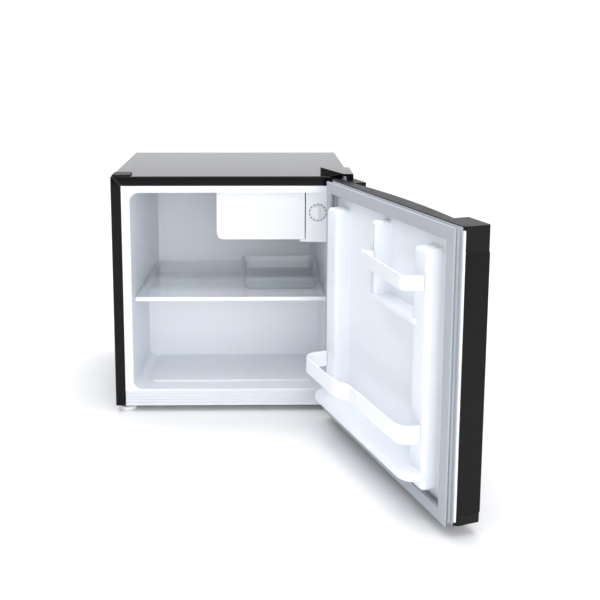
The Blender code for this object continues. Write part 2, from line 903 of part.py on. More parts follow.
def make_flap():
    """Ice-box flap: a dished panel on two moulded pins at its right-hand side."""
    low = (flap_left(), FLAP_FRONT, flap_low())
    high = (flap_right(), FLAP_FRONT + FLAP_THICKNESS, flap_high())
    bm = bmesh.new()
    bmesh.ops.create_cube(bm, size=1.0)
    for vert in bm.verts:
        for i in range(3):
            vert.co[i] = low[i] if vert.co[i] < 0 else high[i]
    free_low = Vector((low[0], 0.0, low[2]))
    corner = [
        edge
        for edge in edges_along(bm, "y")
        if (edge.verts[0].co * Vector((1.0, 0.0, 1.0)) - free_low).length < 0.001
    ]
    bmesh.ops.bevel(bm, geom=corner, offset=FLAP_RADIUS, segments=5, profile=0.5, affect="EDGES")
    flap = solid("ice_box_flap", bm)
    x, y = flap_axis()
    reach = LUG_THICKNESS + GAP
    pins = rod(
        "flap_pins",
        (x, y, low[2] - reach),
        (x, y, high[2] + reach - GAP),
        FLAP_PIN_RADIUS,
        segments=16,
    )
    dish = box(
        "flap_dish",
        (low[0] + FLAP_RADIUS * 0.6, low[1] + FLAP_WALL, low[2] + FLAP_RADIUS * 0.6),
        (high[0] - 0.011, high[1] + 0.01, high[2] - FLAP_WALL),
    )
    join(flap, pins)
    cut(flap, dish)
    paint(WHITE_LINER, flap)
    return flap


def make_ice_box():
    """Bent aluminium evaporator box, open at the flap."""
    start = FLAP_FRONT + FLAP_THICKNESS + ICE_BOX_BEHIND
    end = start + ICE_BOX_LENGTH
    low = (flap_left() + 0.002, start, flap_low() + 0.004)
    high = (flap_right() - 0.001, end, MOUTH_HIGH - GAP)
    ice_box = box("ice_box", low, high, radius=0.010, along="y")
    wall = ICE_BOX_WALL
    inside = box(
        "ice_box_inside",
        (low[0] + wall, low[1] - 0.01, low[2] + wall),
        (high[0] - wall, high[1] - wall, high[2] - wall),
        radius=0.009,
        along="y",
    )
    cut(ice_box, inside)
    paint(ALUMINIUM, ice_box)
    return ice_box


def knob_place():
    return ((housing_left() + wall_x(FLAP_FRONT)) / 2 + 0.0015, MOUTH_HIGH - 0.0495)


def make_thermostat():
    """Housing with hinge lugs for the flap, the thermostat in it, and the knob."""
    left = housing_left()
    low = MOUTH_HIGH - GAP - HOUSING_HEIGHT
    high = MOUTH_HIGH - GAP
    back = FLAP_FRONT + HOUSING_LENGTH
    housing = box("thermostat_housing", (left, FLAP_FRONT, low), (HALF, back, high))
    keep_inside(housing, cavity("housing_limit", -GAP))
    wall = HOUSING_WALL
    inside = box(
        "housing_inside",
        (left + wall, FLAP_FRONT + wall, low + wall),
        (wall_x(back) - GAP - wall, back + 0.01, high - wall),
    )
    cut(housing, inside)
    x, y = flap_axis()
    for name, z in (("lug_low", flap_low() - GAP - LUG_THICKNESS), ("lug_high", flap_high() + GAP)):
        outline = [
            (left + wall, y - LUG_RADIUS),
            (left + wall, y + LUG_RADIUS),
            *arc((x, y), LUG_RADIUS, 90, 270, 6),
        ]
        lug = plate(name, outline, z, min(z + LUG_THICKNESS, high))
        hole = rod(
            name + "_hole",
            (x, y, z - 0.002),
            (x, y, z + LUG_THICKNESS + 0.002),
            FLAP_PIN_RADIUS + GAP,
            segments=16,
        )
        join(housing, lug)
        cut(housing, hole)
    kx, kz = knob_place()
    shaft_hole = rod(
        "shaft_hole",
        (kx, FLAP_FRONT - 0.01, kz),
        (kx, FLAP_FRONT + 0.02, kz),
        KNOB_STEM_RADIUS + STEM_CLEARANCE,
    )
    cut(housing, shaft_hole)
    paint(WHITE_LINER, housing)

    body = box(
        "thermostat_body",
        (kx - 0.015, FLAP_FRONT + wall + GAP, kz - 0.018),
        (kx + 0.011, FLAP_FRONT + 0.034, kz + 0.018),
        radius=0.002,
        along="y",
        segments=2,
    )
    socket = rod(
        "shaft_socket",
        (kx, FLAP_FRONT - 0.01, kz),
        (kx, FLAP_FRONT + 0.016, kz),
        KNOB_STEM_RADIUS + STEM_CLEARANCE,
    )
    cut(body, socket)
    paint(ZINC_STEEL, body)

    knob = rod(
        "thermostat_knob",
        (kx, FLAP_FRONT - GAP, kz),
        (kx, FLAP_FRONT - KNOB_THICKNESS, kz),
        KNOB_RADIUS,
        KNOB_RADIUS - 0.001,
        segments=32,
    )
    stem = rod("knob_stem", (kx, FLAP_FRONT - 0.003, kz), (kx, FLAP_FRONT + 0.014, kz), KNOB_STEM_RADIUS)
    grip = box(
        "knob_grip",
        (kx - 0.003, FLAP_FRONT - KNOB_THICKNESS - 0.006, kz - 0.0115),
        (kx + 0.003, FLAP_FRONT - KNOB_THICKNESS + 0.002, kz + 0.0115),
        radius=0.001,
        along="z",
        segments=2,
    )
    join(knob, stem, grip)
    paint(PALE_PLASTIC, knob)
    return housing, body, knob


# ---------------------------------------------------------------- cooling system
def rail_top():
    return SHELL_BOTTOM + 0.0025


def compressor_place():
    return (COMPRESSOR_X, (BAY_FRONT + SHELL_DEPTH) / 2)


def make_compressor():
    """Rail, rubber grommets, mounting plate and the sealed compressor can."""
    x, y = compressor_place()
    inset = SHEET + GAP
    rail = box(
        "compressor_rail",
        (-HALF + inset, BAY_FRONT + GAP, SHELL_BOTTOM),
        (HALF - inset, SHELL_DEPTH - GAP, rail_top()),
    )
    paint(ZINC_STEEL, rail)
    plate_low = rail_top() + GROMMET_HEIGHT
    feet = [(x + sx * 0.066, y + sy * 0.046) for sx in (-1, 1) for sy in (-1, 1)]
    mount = box(
        "compressor_mount",
        (x - 0.076, y - 0.056, plate_low),
        (x + 0.076, y + 0.056, plate_low + 0.0025),
        radius=0.010,
        along="z",
    )
    grommets = []
    for i, (fx, fy) in enumerate(feet):
        cut(mount, rod(f"mount_hole_{i}", (fx, fy, plate_low - 0.01), (fx, fy, plate_low + 0.02), 0.0058))
        profile = [
            (0.0, plate_low + 0.0065),
            (0.0075, plate_low + 0.0065),
            (0.0080, plate_low + 0.0025 + GAP),
            (0.0055, plate_low + 0.0025 + GAP),
            (0.0055, plate_low - GAP),
            (0.0085, plate_low - GAP),
            (0.0095, rail_top() + GAP),
            (0.0, rail_top() + GAP),
        ]
        grommet = turned(f"grommet_{i + 1}", (fx, fy, 0.0), profile, steps=16)
        paint(RUBBER, grommet)
        grommets.append(grommet)
    paint(BLACK_STEEL, mount)
    can = compressor_can("compressor", 0.0)
    paint(BLACK_STEEL, can)
    return [rail, mount, *grommets, can]


def compressor_can(name, grow):
    """Two drawn steel cups seam-welded round the middle, turned and then stretched along X."""
    x, y = compressor_place()
    low = rail_top() + GROMMET_HEIGHT + MOUNT_PLATE + GAP - grow
    high = low + COMPRESSOR_HEIGHT + 2 * grow
    r = COMPRESSOR_RADIUS + grow
    profile = [(0.0, high)]
    for turn in (20, 40, 60, 80):
        a = math.radians(turn)
        profile.append((r * math.sin(a), high - COMPRESSOR_CROWN * (1 - math.cos(a))))
    seam = (low + high) / 2 + 0.010
    profile += [(r, seam + 0.004), (r + 0.0025, seam + 0.004), (r + 0.0025, seam), (r, seam)]
    profile += [(r, low + 0.020), (r * 0.93, low + 0.008), (r * 0.70, low), (0.0, low)]
    can = turned(name, (x, y, 0.0), profile, steps=32)
    can.scale.x = COMPRESSOR_STRETCH
    return can


def make_relay_cover():
    x, y = compressor_place()
    low = rail_top() + GROMMET_HEIGHT + MOUNT_PLATE + GAP + 0.020
    start = x - COMPRESSOR_RADIUS * COMPRESSOR_STRETCH
    cover = box(
        "relay_cover",
        (start - 0.026, y - 0.022, low),
        (start + 0.012, y + 0.022, low + 0.042),
        radius=0.003,
        along="x",
        segments=2,
    )
    cut(cover, compressor_can("relay_can_limit", GAP))
    paint(MATTE_BLACK, cover)
    return cover


def make_evaporation_pan():
    x, y = compressor_place()
    low = rail_top() + GROMMET_HEIGHT + MOUNT_PLATE + GAP + COMPRESSOR_HEIGHT + GAP
    high = low + 0.016
    pan = sloped_box(
        "evaporation_pan",
        (x - 0.078, y - 0.045),
        (x + 0.062, y + 0.036),
        low,
        high,
        0.005,
        0.010,
    )
    inside = sloped_box(
        "pan_inside",
        (x - 0.0762, y - 0.0432),
        (x + 0.0602, y + 0.0342),
        low + 0.0018,
        high + 0.002,
        0.005,
        0.009,
    )
    cut(pan, inside)
    paint(MATTE_BLACK, pan)
    return pan


def make_drain_tube():
    x, y = drain_place()
    high = MOUTH_LOW + HUMP_HEIGHT - LINER
    low = BAY_TOP - 0.010
    tube_wall = rod("drain_tube", (x, y, low), (x, y, high), 0.0050)
    cut(tube_wall, rod("drain_bore", (x, y, low - 0.01), (x, y, high + 0.01), 0.0036))
    paint(PALE_PLASTIC, tube_wall)
    return tube_wall


def make_condenser():
    """Steel tube that winds up and down the inside of the back panel."""
    y = SHELL_DEPTH - SHEET - 0.0030 - PIPE_RADIUS / 2
    low = BAY_TOP + 0.022
    high = SHELL_TOP - 0.030
    passes = 8
    pitch = 0.044
    bend = pitch / 2
    first = -pitch * (passes - 1) / 2
    points = [(first, y, BAY_TOP - 0.020)]
    for i in range(passes):
        x = first + i * pitch
        top_turn = i % 2 == 0
        z = high - bend if top_turn else low + bend
        points.append((x, y, z))
        if i == passes - 1:
            break
        centre = x + bend
        for step in range(1, 6):
            angle = math.pi * (1 - step / 6)
            rise = bend * math.sin(angle)
            points.append((centre + bend * math.cos(angle), y, z + (rise if top_turn else -rise)))
        points.append((x + pitch, y, z))
    points[-1] = (first + (passes - 1) * pitch, y, low + bend)
    points.append((points[-1][0], y, BAY_TOP - 0.020))
    coil = tube("condenser_coil", tidy(points), PIPE_RADIUS)
    paint(DARK_STEEL, coil)
    return coil, points[0], points[-1]


def tidy(points):
    """Leave out points that repeat the one before."""
    kept = [points[0]]
    for point in points[1:]:
        if (Vector(point) - Vector(kept[-1])).length > 0.0005:
            kept.append(point)
    return kept


def bent(points, radius, steps=4):
    """Round the inner corners of a run of straight stretches."""
    result = [Vector(points[0])]
    for before, corner, after in zip(points, points[1:], points[2:]):
        corner = Vector(corner)
        back = (Vector(before) - corner).normalized() * radius
        on = (Vector(after) - corner).normalized() * radius
        for i in range(steps + 1):
            t = i / steps
            result.append(corner + back * (1 - t) ** 2 + on * t ** 2)
    result.append(Vector(points[-1]))
    return [tuple(point) for point in tidy(result)]


def make_pipes(coil_start, coil_end):
    """Discharge pipe, filter dryer and suction pipe of the refrigerant circuit."""
    cx, cy = compressor_place()
    side = cx + COMPRESSOR_RADIUS * COMPRESSOR_STRETCH
    z = rail_top() + GROMMET_HEIGHT + 0.035
    gap = 0.0012
    end = Vector(coil_end) - Vector((0, 0, gap))
    route = [
        (side + gap, cy, z),
        (end.x, cy, z),
        (end.x, end.y, z),
        tuple(end),
    ]
    discharge = tube("discharge_pipe", bent(route, 0.012), PIPE_RADIUS)
    paint(COPPER, discharge)

    start = Vector(coil_start) - Vector((0, 0, gap))
    high = start.z
    low = high - 0.072
    profile = [
        (0.0, high),
        (0.0026, high),
        (0.0026, high - 0.006),
        (0.0080, high - 0.012),
        (0.0080, low + 0.012),
        (0.0020, low + 0.004),
        (0.0020, low),
        (0.0, low),
    ]
    dryer = turned("filter_dryer", (start.x, start.y, 0.0), profile, steps=16)
    paint(COPPER, dryer)

    sx, sy = suction_place()
    ice_back = FLAP_FRONT + FLAP_THICKNESS + ICE_BOX_BEHIND + ICE_BOX_LENGTH
    top = suction_height()
    down = BAY_TOP - 0.030
    out = cy + COMPRESSOR_RADIUS + 0.005
    route = [
        (cx - 0.020, cy + COMPRESSOR_RADIUS * 0.934 + gap, down - 0.050),
        (cx - 0.020, out, down - 0.050),
        (cx - 0.020, out, down),
        (sx, out, down),
        (sx, sy, down),
        (sx, sy, top),
        (sx, ice_back + gap, top),
    ]
    suction = tube("suction_pipe", bent(route, 0.005), PIPE_RADIUS)
    paint(COPPER, suction)
    return [discharge, dryer, suction]


def make_cord_gland():
    """Round inlet in the bay panel where the supply lead would come in."""
    x = -HALF + 0.050
    z = SHELL_BOTTOM + 0.060
    y = BAY_FRONT + GAP
    gland = rod("cord_gland", (x, y, z), (x, y + 0.010, z), 0.0095, 0.0070, 20)
    cut(gland, rod("gland_bore", (x, y + 0.0025, z), (x, y + 0.02, z), 0.0036))
    paint(MATTE_BLACK, gland)
    return gland


# ---------------------------------------------------------------- door, drawn closed
def make_door_skin():
    """Painted steel skin: the front and both long sides, between the two caps."""
    low = DOOR_BOTTOM + BOTTOM_CAP + GAP
    high = DOOR_TOP - TOP_CAP - GAP
    skin = box(
        "door_skin",
        (-HALF, DOOR_OUTER, low),
        (HALF, DOOR_INNER - DOOR_RIM - GAP, high),
    )
    edge = skin.modifiers.new("edges", "BEVEL")
    edge.width = 0.0012
    edge.segments = 2
    inside = box(
        "skin_inside",
        (-HALF + SHEET, DOOR_OUTER + SHEET, low - 0.01),
        (HALF - SHEET, 0.01, high + 0.01),
    )
    cut(skin, inside)
    paint(BLACK_STEEL, skin)
    return skin


def grip_half():
    return HALF - CAP_END


def grip_outline(front, inset=0.0):
    """Pocket behind the grip lip, whose inner side bows outwards at its middle."""
    half = grip_half() - inset
    steps = 16
    base = DOOR_INNER - GRIP_INNER - inset
    inner = []
    for i in range(steps + 1):
        x = half - 2 * half * i / steps
        inner.append((x, base - GRIP_BULGE * (1 - (x / half) ** 2)))
    return [(-half, front), (half, front), *inner]


def make_top_cap():
    """Moulded cap with the pull grip scooped out of its top."""
    low = DOOR_TOP - TOP_CAP
    cap = box(
        "door_top_cap",
        (-HALF, DOOR_OUTER, low),
        (HALF, DOOR_INNER - DOOR_RIM - GAP, DOOR_TOP),
        radius=0.004,
        along="z",
    )
    inner = box(
        "top_cap_lip",
        (-HALF + 0.003, DOOR_INNER - DOOR_RIM - 0.002, DOOR_TOP - 0.006),
        (HALF - 0.003, DOOR_INNER, DOOR_TOP),
    )
    lip_high = DOOR_TOP - GRIP_DROP
    scoop = plate("grip_scoop", grip_outline(DOOR_OUTER - 0.01), lip_high, DOOR_TOP + 0.01)
    pocket = plate(
        "grip_pocket",
        grip_outline(DOOR_OUTER + GRIP_LIP, 0.0002),
        lip_high - GRIP_DEPTH,
        lip_high + 0.002,
    )
    bore = rod(
        "top_bush_bore",
        (HINGE_X, HINGE_Y, DOOR_TOP - 0.022),
        (HINGE_X, HINGE_Y, DOOR_TOP + 0.01),
        0.0070 + GAP,
    )
    join(cap, inner)
    cut(cap, scoop, pocket, bore)
    paint(MATTE_BLACK, cap)
    bush = hinge_bush("top_hinge_bush", DOOR_TOP - 0.020, DOOR_TOP - GAP)
    return [cap, bush]


def make_bottom_cap():
    high = DOOR_BOTTOM + BOTTOM_CAP
    cap = box(
        "door_bottom_cap",
        (-HALF, DOOR_OUTER, DOOR_BOTTOM),
        (HALF, DOOR_INNER - DOOR_RIM - GAP, high),
        radius=0.004,
        along="z",
    )
    inner = box(
        "bottom_cap_lip",
        (-HALF + 0.003, DOOR_INNER - DOOR_RIM - 0.002, DOOR_BOTTOM),
        (HALF - 0.003, DOOR_INNER, DOOR_BOTTOM + 0.006),
    )
    bore = rod(
        "bottom_bush_bore",
        (HINGE_X, HINGE_Y, DOOR_BOTTOM - 0.01),
        (HINGE_X, HINGE_Y, DOOR_BOTTOM + 0.0145),
        0.0070 + GAP,
    )
    join(cap, inner)
    cut(cap, bore)
    paint(MATTE_BLACK, cap)
    bush = hinge_bush("bottom_hinge_bush", DOOR_BOTTOM, DOOR_BOTTOM + 0.0140)
    return [cap, bush]


def hinge_bush(name, low, high):
    bush = rod(name, (HINGE_X, HINGE_Y, low), (HINGE_X, HINGE_Y, high), 0.0070)
    bore = rod(
        name + "_bore",
        (HINGE_X, HINGE_Y, low - 0.01),
        (HINGE_X, HINGE_Y, high + 0.01),
        PIN_RADIUS + GAP,
    )
    cut(bush, bore)
    paint(PALE_PLASTIC, bush)
    return bush


def relief(name, inset):
    """Union of the raised shapes on the door liner, or the same shapes drawn in by an inset."""
    face = DOOR_INNER
    deep = face - 0.006
    near = face + DYKE_REACH - inset
    low = DOOR_BOTTOM + DYKE_BOTTOM
    high = DOOR_TOP - DYKE_TOP
    outer = HALF - DYKE_INSET
    shapes = []
    for side, tag in ((-1, "free"), (1, "hinge")):
        edge = side * (outer - inset)
        inner = side * (outer - DYKE_WIDTH + inset)
        dyke = box(
            f"{name}_dyke_{tag}",
            (min(edge, inner), deep, low + inset),
            (max(edge, inner), near, high - inset),
            radius=0.010,
            along="xz",
            segments=5,
        )
        shapes.append(dyke)
    ledge_low = DOOR_BOTTOM + LOWER_LEDGE_RISE + inset
    ledge_high = DOOR_BOTTOM + LOWER_LEDGE_RISE + LOWER_LEDGE_THICKNESS - inset
    reach = face + LOWER_LEDGE_REACH - inset
    shapes.append(
        box(
            name,
            (-outer + inset, deep, ledge_low),
            (outer - inset, reach, ledge_high),
            radius=0.030,
            along="z",
            segments=8,
        )
    )
    left = -PARTITION_X - PARTITION_WIDTH / 2 + inset
    right = left + PARTITION_WIDTH - 2 * inset
    upper_low = DOOR_BOTTOM + UPPER_LEDGE_RISE
    shapes.append(
        box(
            name + "_partition",
            (left, deep, upper_low + inset),
            (right, near, DOOR_TOP - PARTITION_TOP - inset),
            radius=0.006,
            along="xz",
            segments=4,
        )
    )
    shapes.append(
        box(
            name + "_upper_ledge",
            (-outer + 0.010 + inset, deep, upper_low - 0.001 + inset),
            (right - 0.001, face + UPPER_LEDGE_REACH - inset, upper_low + UPPER_LEDGE_THICKNESS - inset),
            radius=0.008,
            along="z",
            segments=4,
        )
    )
    body = shapes.pop(2)
    return join(body, *shapes)


def make_door_liner():
    """Vacuum-formed inner panel with dykes, a centre partition and two ledges."""
    low = DOOR_BOTTOM + 0.006 + GAP
    high = DOOR_TOP - 0.006 - GAP
    half = HALF - GAP
    liner = box("door_liner", (-half, DOOR_INNER - DOOR_RIM, low), (half, DOOR_INNER, high))
    hollow = box(
        "door_liner_hollow",
        (-half + LINER, DOOR_INNER - DOOR_RIM - 0.01, low + LINER),
        (half - LINER, DOOR_INNER - LINER, high - LINER),
    )
    join(liner, relief("relief_outer", 0.0))
    cut(liner, hollow, relief("relief_inner", LINER))
    paint(WHITE_LINER, liner)
    return liner


def make_door_foam():
    """Foam core of the door, filling the skin, the caps' inner side and the dykes."""
    low = DOOR_BOTTOM + BOTTOM_CAP + GAP
    high = DOOR_TOP - TOP_CAP - GAP
    half = HALF - SHEET - GAP
    foam = box(
        "door_foam",
        (-half, DOOR_OUTER + SHEET + GAP, low),
        (half, DOOR_INNER - DOOR_RIM - GAP, high),
    )
    over = box(
        "foam_over",
        (-HALF, DOOR_OUTER, high),
        (HALF, DOOR_INNER - DOOR_RIM + GAP, DOOR_TOP),
    )
    join(foam, relief("relief_foam", LINER + GAP))
    cut(foam, over)
    paint(FOAM, foam)
    return foam


def make_gasket():
    """Magnetic seal: a hollow-sided ring round the door liner."""
    left = -HALF + GASKET_FREE_INSET
    right = HALF - GASKET_HINGE_INSET
    low = DOOR_BOTTOM + 0.0015
    high = DOOR_TOP - 0.0015
    back = DOOR_INNER + GAP
    front = -GAP
    ring = box("door_gasket", (left, back, low), (right, front, high), radius=0.002, along="y", segments=2)
    wide = GASKET_WIDTH
    hole = box(
        "gasket_hole",
        (left + wide, back - 0.01, low + wide),
        (right - wide, front + 0.01, high - wide),
    )
    cut(ring, hole)
    mid = (back + front) / 2
    deep = GASKET_GROOVE_DEPTH
    groove = box(
        "gasket_groove",
        (left - 0.01, mid - 0.002, low - 0.01),
        (right + 0.01, mid + 0.002, high + 0.01),
    )
    core = box(
        "gasket_core",
        (left + deep, mid - 0.003, low + deep),
        (right - deep, mid + 0.003, high - deep),
    )
    cut(groove, core)
    cut(ring, groove)
    paint(GASKET_GREY, ring)
    return ring


def ribbon(name, path, low, high):
    """Upright band along a path in X and Y, thickened to one side."""
    bm = bmesh.new()
    verts = [bm.verts.new((x, y, low)) for x, y in path]
    edges = [bm.edges.new(pair) for pair in zip(verts, verts[1:])]
    grown = bmesh.ops.extrude_edge_only(bm, edges=edges)
    lifted = [item for item in grown["geom"] if isinstance(item, bmesh.types.BMVert)]
    bmesh.ops.translate(bm, verts=lifted, vec=(0.0, 0.0, high - low))
    band = solid(name, bm)
    thick = band.modifiers.new("thickness", "SOLIDIFY")
    thick.thickness = BAR_THICKNESS
    thick.offset = 0.0
    thick.use_even_offset = True
    return band


def bar_end():
    """Where a bar meets the tip of a dyke: in from the door's edge, and off the dyke."""
    return HALF - DYKE_INSET - 0.010, DOOR_INNER + DYKE_REACH + 2 * GAP


def make_lower_bar():
    """Full-width bottle bar, deeper on the hinge half, with a smooth step at its middle."""
    end, start = bar_end()
    deep = DOOR_INNER + LOWER_BAR_REACH
    shallow = deep - LOWER_BAR_STEP
    r = min(LOWER_BAR_RADIUS, shallow - start)
    path = [(end, start)]
    path += arc((end - r, deep - r), r, 0, 90, 6)
    for i in range(1, 9):
        t = i / 9
        ease = t * t * (3 - 2 * t)
        x = LOWER_BAR_STEP_FROM - LOWER_BAR_STEP_RUN * t
        path.append((x, deep - LOWER_BAR_STEP * ease))
    path += arc((-end + r, shallow - r), r, 90, 180, 6)
    path.append((-end, start))
    low = DOOR_BOTTOM + LOWER_BAR_RISE
    bar = ribbon("lower_bottle_bar", path, low, low + LOWER_BAR_HEIGHT)
    paint(WHITE_LINER, bar)
    return bar


def make_upper_bar():
    """Half-width bar from the partition to the free dyke, running aslant to a point."""
    end, start = bar_end()
    reach = DOOR_INNER + UPPER_BAR_REACH
    r = 0.008
    tip = (-PARTITION_X + 0.010, reach - 0.015)
    path = [(-end, start + 0.0008)]
    path += arc((-end + 0.019, reach - r), r, 165, 92, 5)
    path += [tip, (-PARTITION_X - 0.006, start + 0.0012)]
    low = DOOR_BOTTOM + UPPER_BAR_RISE
    bar = ribbon("upper_rack_bar", path, low, low + UPPER_BAR_HEIGHT)
    paint(WHITE_LINER, bar)
    return bar


# ---------------------------------------------------------------- assembly
def bounds(pieces):
    graph = bpy.context.evaluated_depsgraph_get()
    corners = []
    for piece in pieces:
        seen = piece.evaluated_get(graph)
        mesh = seen.to_mesh()
        corners += [piece.matrix_world @ vert.co for vert in mesh.vertices]
        seen.to_mesh_clear()
    low = [min(c[i] for c in corners) for i in range(3)]
    high = [max(c[i] for c in corners) for i in range(3)]
    return low, high


def build():
    clear_scene()
    root = pivot("fridge", (0.0, 0.0, 0.0))
    door = pivot("door_axis", (HINGE_X, HINGE_Y, DOOR_BOTTOM), DOOR_OPEN_ANGLE)
    flap = pivot("flap_axis", (*flap_axis(), flap_low()))
    knob_x, knob_z = knob_place()
    knob_axis = pivot("knob_axis", (knob_x, FLAP_FRONT, knob_z))
    shelf = pivot("shelf_slide", (0.0, SHELF_FRONT, SHELF_TOP))
    tray = pivot("tray_slide", (TRAY_FROM_LEFT, SHELF_FRONT, SHELF_TOP))
    for moving in (door, flap, knob_axis, shelf, tray):
        moving.parent = root

    housing, thermostat, knob = make_thermostat()
    coil, coil_start, coil_end = make_condenser()
    cabinet = [
        make_wrap(),
        make_back_panel(),
        make_base_plate(),
        make_bay_panel(),
        make_foam(),
        make_liner(),
        make_sill(),
        make_corner_cap(),
        *make_top_hinge(),
        make_hinge_cover(),
        *make_bottom_hinge(),
        make_rear_foot("rear_foot_left", -1),
        make_rear_foot("rear_foot_right", 1),
        make_ice_box(),
        housing,
        thermostat,
        *make_compressor(),
        make_relay_cover(),
        make_evaporation_pan(),
        make_drain_tube(),
        coil,
        *make_pipes(coil_start, coil_end),
        make_cord_gland(),
    ]
    carry(root, *cabinet)
    carry(root, make_front_foot("front_foot_left", -1), make_front_foot("front_foot_right", 1))
    carry(flap, make_flap())
    carry(knob_axis, knob)
    carry(shelf, *make_shelf())
    carry(tray, make_drip_tray())
    carry(
        door,
        make_door_skin(),
        *make_top_cap(),
        *make_bottom_cap(),
        make_door_foam(),
        make_door_liner(),
        make_gasket(),
        make_lower_bar(),
        make_upper_bar(),
    )
    bpy.context.view_layer.update()
    low, high = bounds([piece for piece in PARTS.objects if piece.type != "EMPTY"])
    root.location = (-(low[0] + high[0]) / 2, -(low[1] + high[1]) / 2, -low[2])
    bpy.context.view_layer.update()


BLACK_STEEL = material("black painted steel", (0.012, 0.012, 0.014), 0.18)
DARK_STEEL = material("dark painted steel", (0.05, 0.05, 0.055), 0.45)
ZINC_STEEL = material("zinc-plated steel", (0.55, 0.56, 0.58), 0.35, 1.0)
WHITE_LINER = material("white polystyrene", (0.80, 0.82, 0.86), 0.30)
PALE_PLASTIC = material("pale grey plastic", (0.66, 0.68, 0.72), 0.45)
MATTE_BLACK = material("matte black plastic", (0.02, 0.02, 0.022), 0.55)
GASKET_GREY = material("grey vinyl", (0.40, 0.42, 0.46), 0.55)
FOAM = material("rigid foam", (0.85, 0.78, 0.55), 0.9)
ALUMINIUM = material("rolled aluminium", (0.80, 0.81, 0.82), 0.35, 1.0)
CLEAR = material("clear polystyrene", (0.85, 0.90, 0.92), 0.08, 0.0, 0.35)
RUBBER = material("black rubber", (0.03, 0.03, 0.03), 0.8)
COPPER = material("copper", (0.72, 0.42, 0.30), 0.35, 1.0)

build()
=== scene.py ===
import json
import math
import bmesh
import bpy
from mathutils import Matrix, Vector


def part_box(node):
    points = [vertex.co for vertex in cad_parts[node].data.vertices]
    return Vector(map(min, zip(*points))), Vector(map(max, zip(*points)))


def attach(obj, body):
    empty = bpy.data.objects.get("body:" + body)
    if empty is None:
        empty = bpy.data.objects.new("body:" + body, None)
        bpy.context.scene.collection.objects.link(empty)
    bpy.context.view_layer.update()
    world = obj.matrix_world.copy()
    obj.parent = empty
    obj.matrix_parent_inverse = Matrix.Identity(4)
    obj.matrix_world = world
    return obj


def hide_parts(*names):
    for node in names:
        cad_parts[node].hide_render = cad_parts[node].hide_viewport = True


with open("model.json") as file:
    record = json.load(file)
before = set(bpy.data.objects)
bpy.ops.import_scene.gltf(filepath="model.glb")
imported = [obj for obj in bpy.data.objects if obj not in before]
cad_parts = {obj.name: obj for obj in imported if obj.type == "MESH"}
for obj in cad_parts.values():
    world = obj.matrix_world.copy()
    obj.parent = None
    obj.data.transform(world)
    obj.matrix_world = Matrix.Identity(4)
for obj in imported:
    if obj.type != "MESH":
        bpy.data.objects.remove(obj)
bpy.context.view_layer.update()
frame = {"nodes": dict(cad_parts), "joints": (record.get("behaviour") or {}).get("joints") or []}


# ------------------------------------------------------------------ studio
# Matt white paper: a floor that sweeps up into a backdrop well behind the object. A large
# softbox overhead, a broad one from the front left, a weak one from the right, and a lamp
# that washes the backdrop. The room itself is dim, so that gloss black stays black.
PAPER_HALF_WIDTH = 14.0
PAPER_FRONT = -12.0
FLOOR_LENGTH = 14.0
SWEEP_RADIUS = 1.5
BACKDROP_HEIGHT = 7.0


def lay_paper():
    bm = bmesh.new()
    front = [bm.verts.new((x, PAPER_FRONT, 0.0)) for x in (-PAPER_HALF_WIDTH, PAPER_HALF_WIDTH)]
    edge = [bm.edges.new(front)]
    turns = [math.radians(6 * i) for i in range(16)]
    steps = [(0.0, FLOOR_LENGTH, 0.0)]
    for a, b in zip(turns, turns[1:]):
        back = SWEEP_RADIUS * (math.sin(b) - math.sin(a))
        up = SWEEP_RADIUS * (math.cos(a) - math.cos(b))
        steps.append((0.0, back, up))
    steps.append((0.0, 0.0, BACKDROP_HEIGHT))
    for step in steps:
        grown = bmesh.ops.extrude_edge_only(bm, edges=edge)["geom"]
        moved = [item for item in grown if isinstance(item, bmesh.types.BMVert)]
        edge = [
            item
            for item in grown
            if isinstance(item, bmesh.types.BMEdge) and all(v in moved for v in item.verts)
        ]
        bmesh.ops.translate(bm, verts=moved, vec=step)
    bmesh.ops.recalc_face_normals(bm, faces=bm.faces)
    mesh = bpy.data.meshes.new("studio_paper")
    bm.to_mesh(mesh)
    bm.free()
    mesh.shade_smooth()
    sheet = bpy.data.objects.new("studio_paper", mesh)
    bpy.context.scene.collection.objects.link(sheet)
    paper = bpy.data.materials.new("matt white background paper")
    paper.use_nodes = True
    shader = paper.node_tree.nodes["Principled BSDF"]
    shader.inputs["Base Color"].default_value = (0.93, 0.93, 0.935, 1.0)
    shader.inputs["Roughness"].default_value = 0.9
    shader.inputs["Specular IOR Level"].default_value = 0.1
    sheet.data.materials.append(paper)


def hang_light(name, place, target, size, power):
    lamp = bpy.data.lights.new(name, "AREA")
    lamp.shape = "RECTANGLE"
    lamp.size, lamp.size_y = size
    lamp.energy = power
    hung = bpy.data.objects.new(name, lamp)
    hung.location = place
    hung.rotation_euler = (Vector(target) - Vector(place)).to_track_quat("-Z", "Y").to_euler()
    bpy.context.scene.collection.objects.link(hung)


lay_paper()
hang_light("top softbox", (-0.1, -0.2, 2.6), (0.0, 0.0, 0.0), (2.6, 2.6), 42.0)
hang_light("front softbox", (0.35, -2.7, 0.95), (-0.05, 0.0, 0.25), (2.2, 1.6), 31.0)
hang_light("right fill", (2.2, -1.4, 1.3), (0.0, 0.0, 0.25), (1.4, 1.8), 8.0)
hang_light("backdrop wash", (0.0, 0.9, 4.0), (0.0, 3.6, 1.0), (5.0, 1.2), 80.0)
room = bpy.data.worlds.new("dim room")
room.use_nodes = True
room.node_tree.nodes["Background"].inputs["Color"].default_value = (0.95, 0.97, 1.0, 1.0)
room.node_tree.nodes["Background"].inputs["Strength"].default_value = 0.55
bpy.context.scene.world = room
bpy.context.scene.view_settings.view_transform = "Standard"

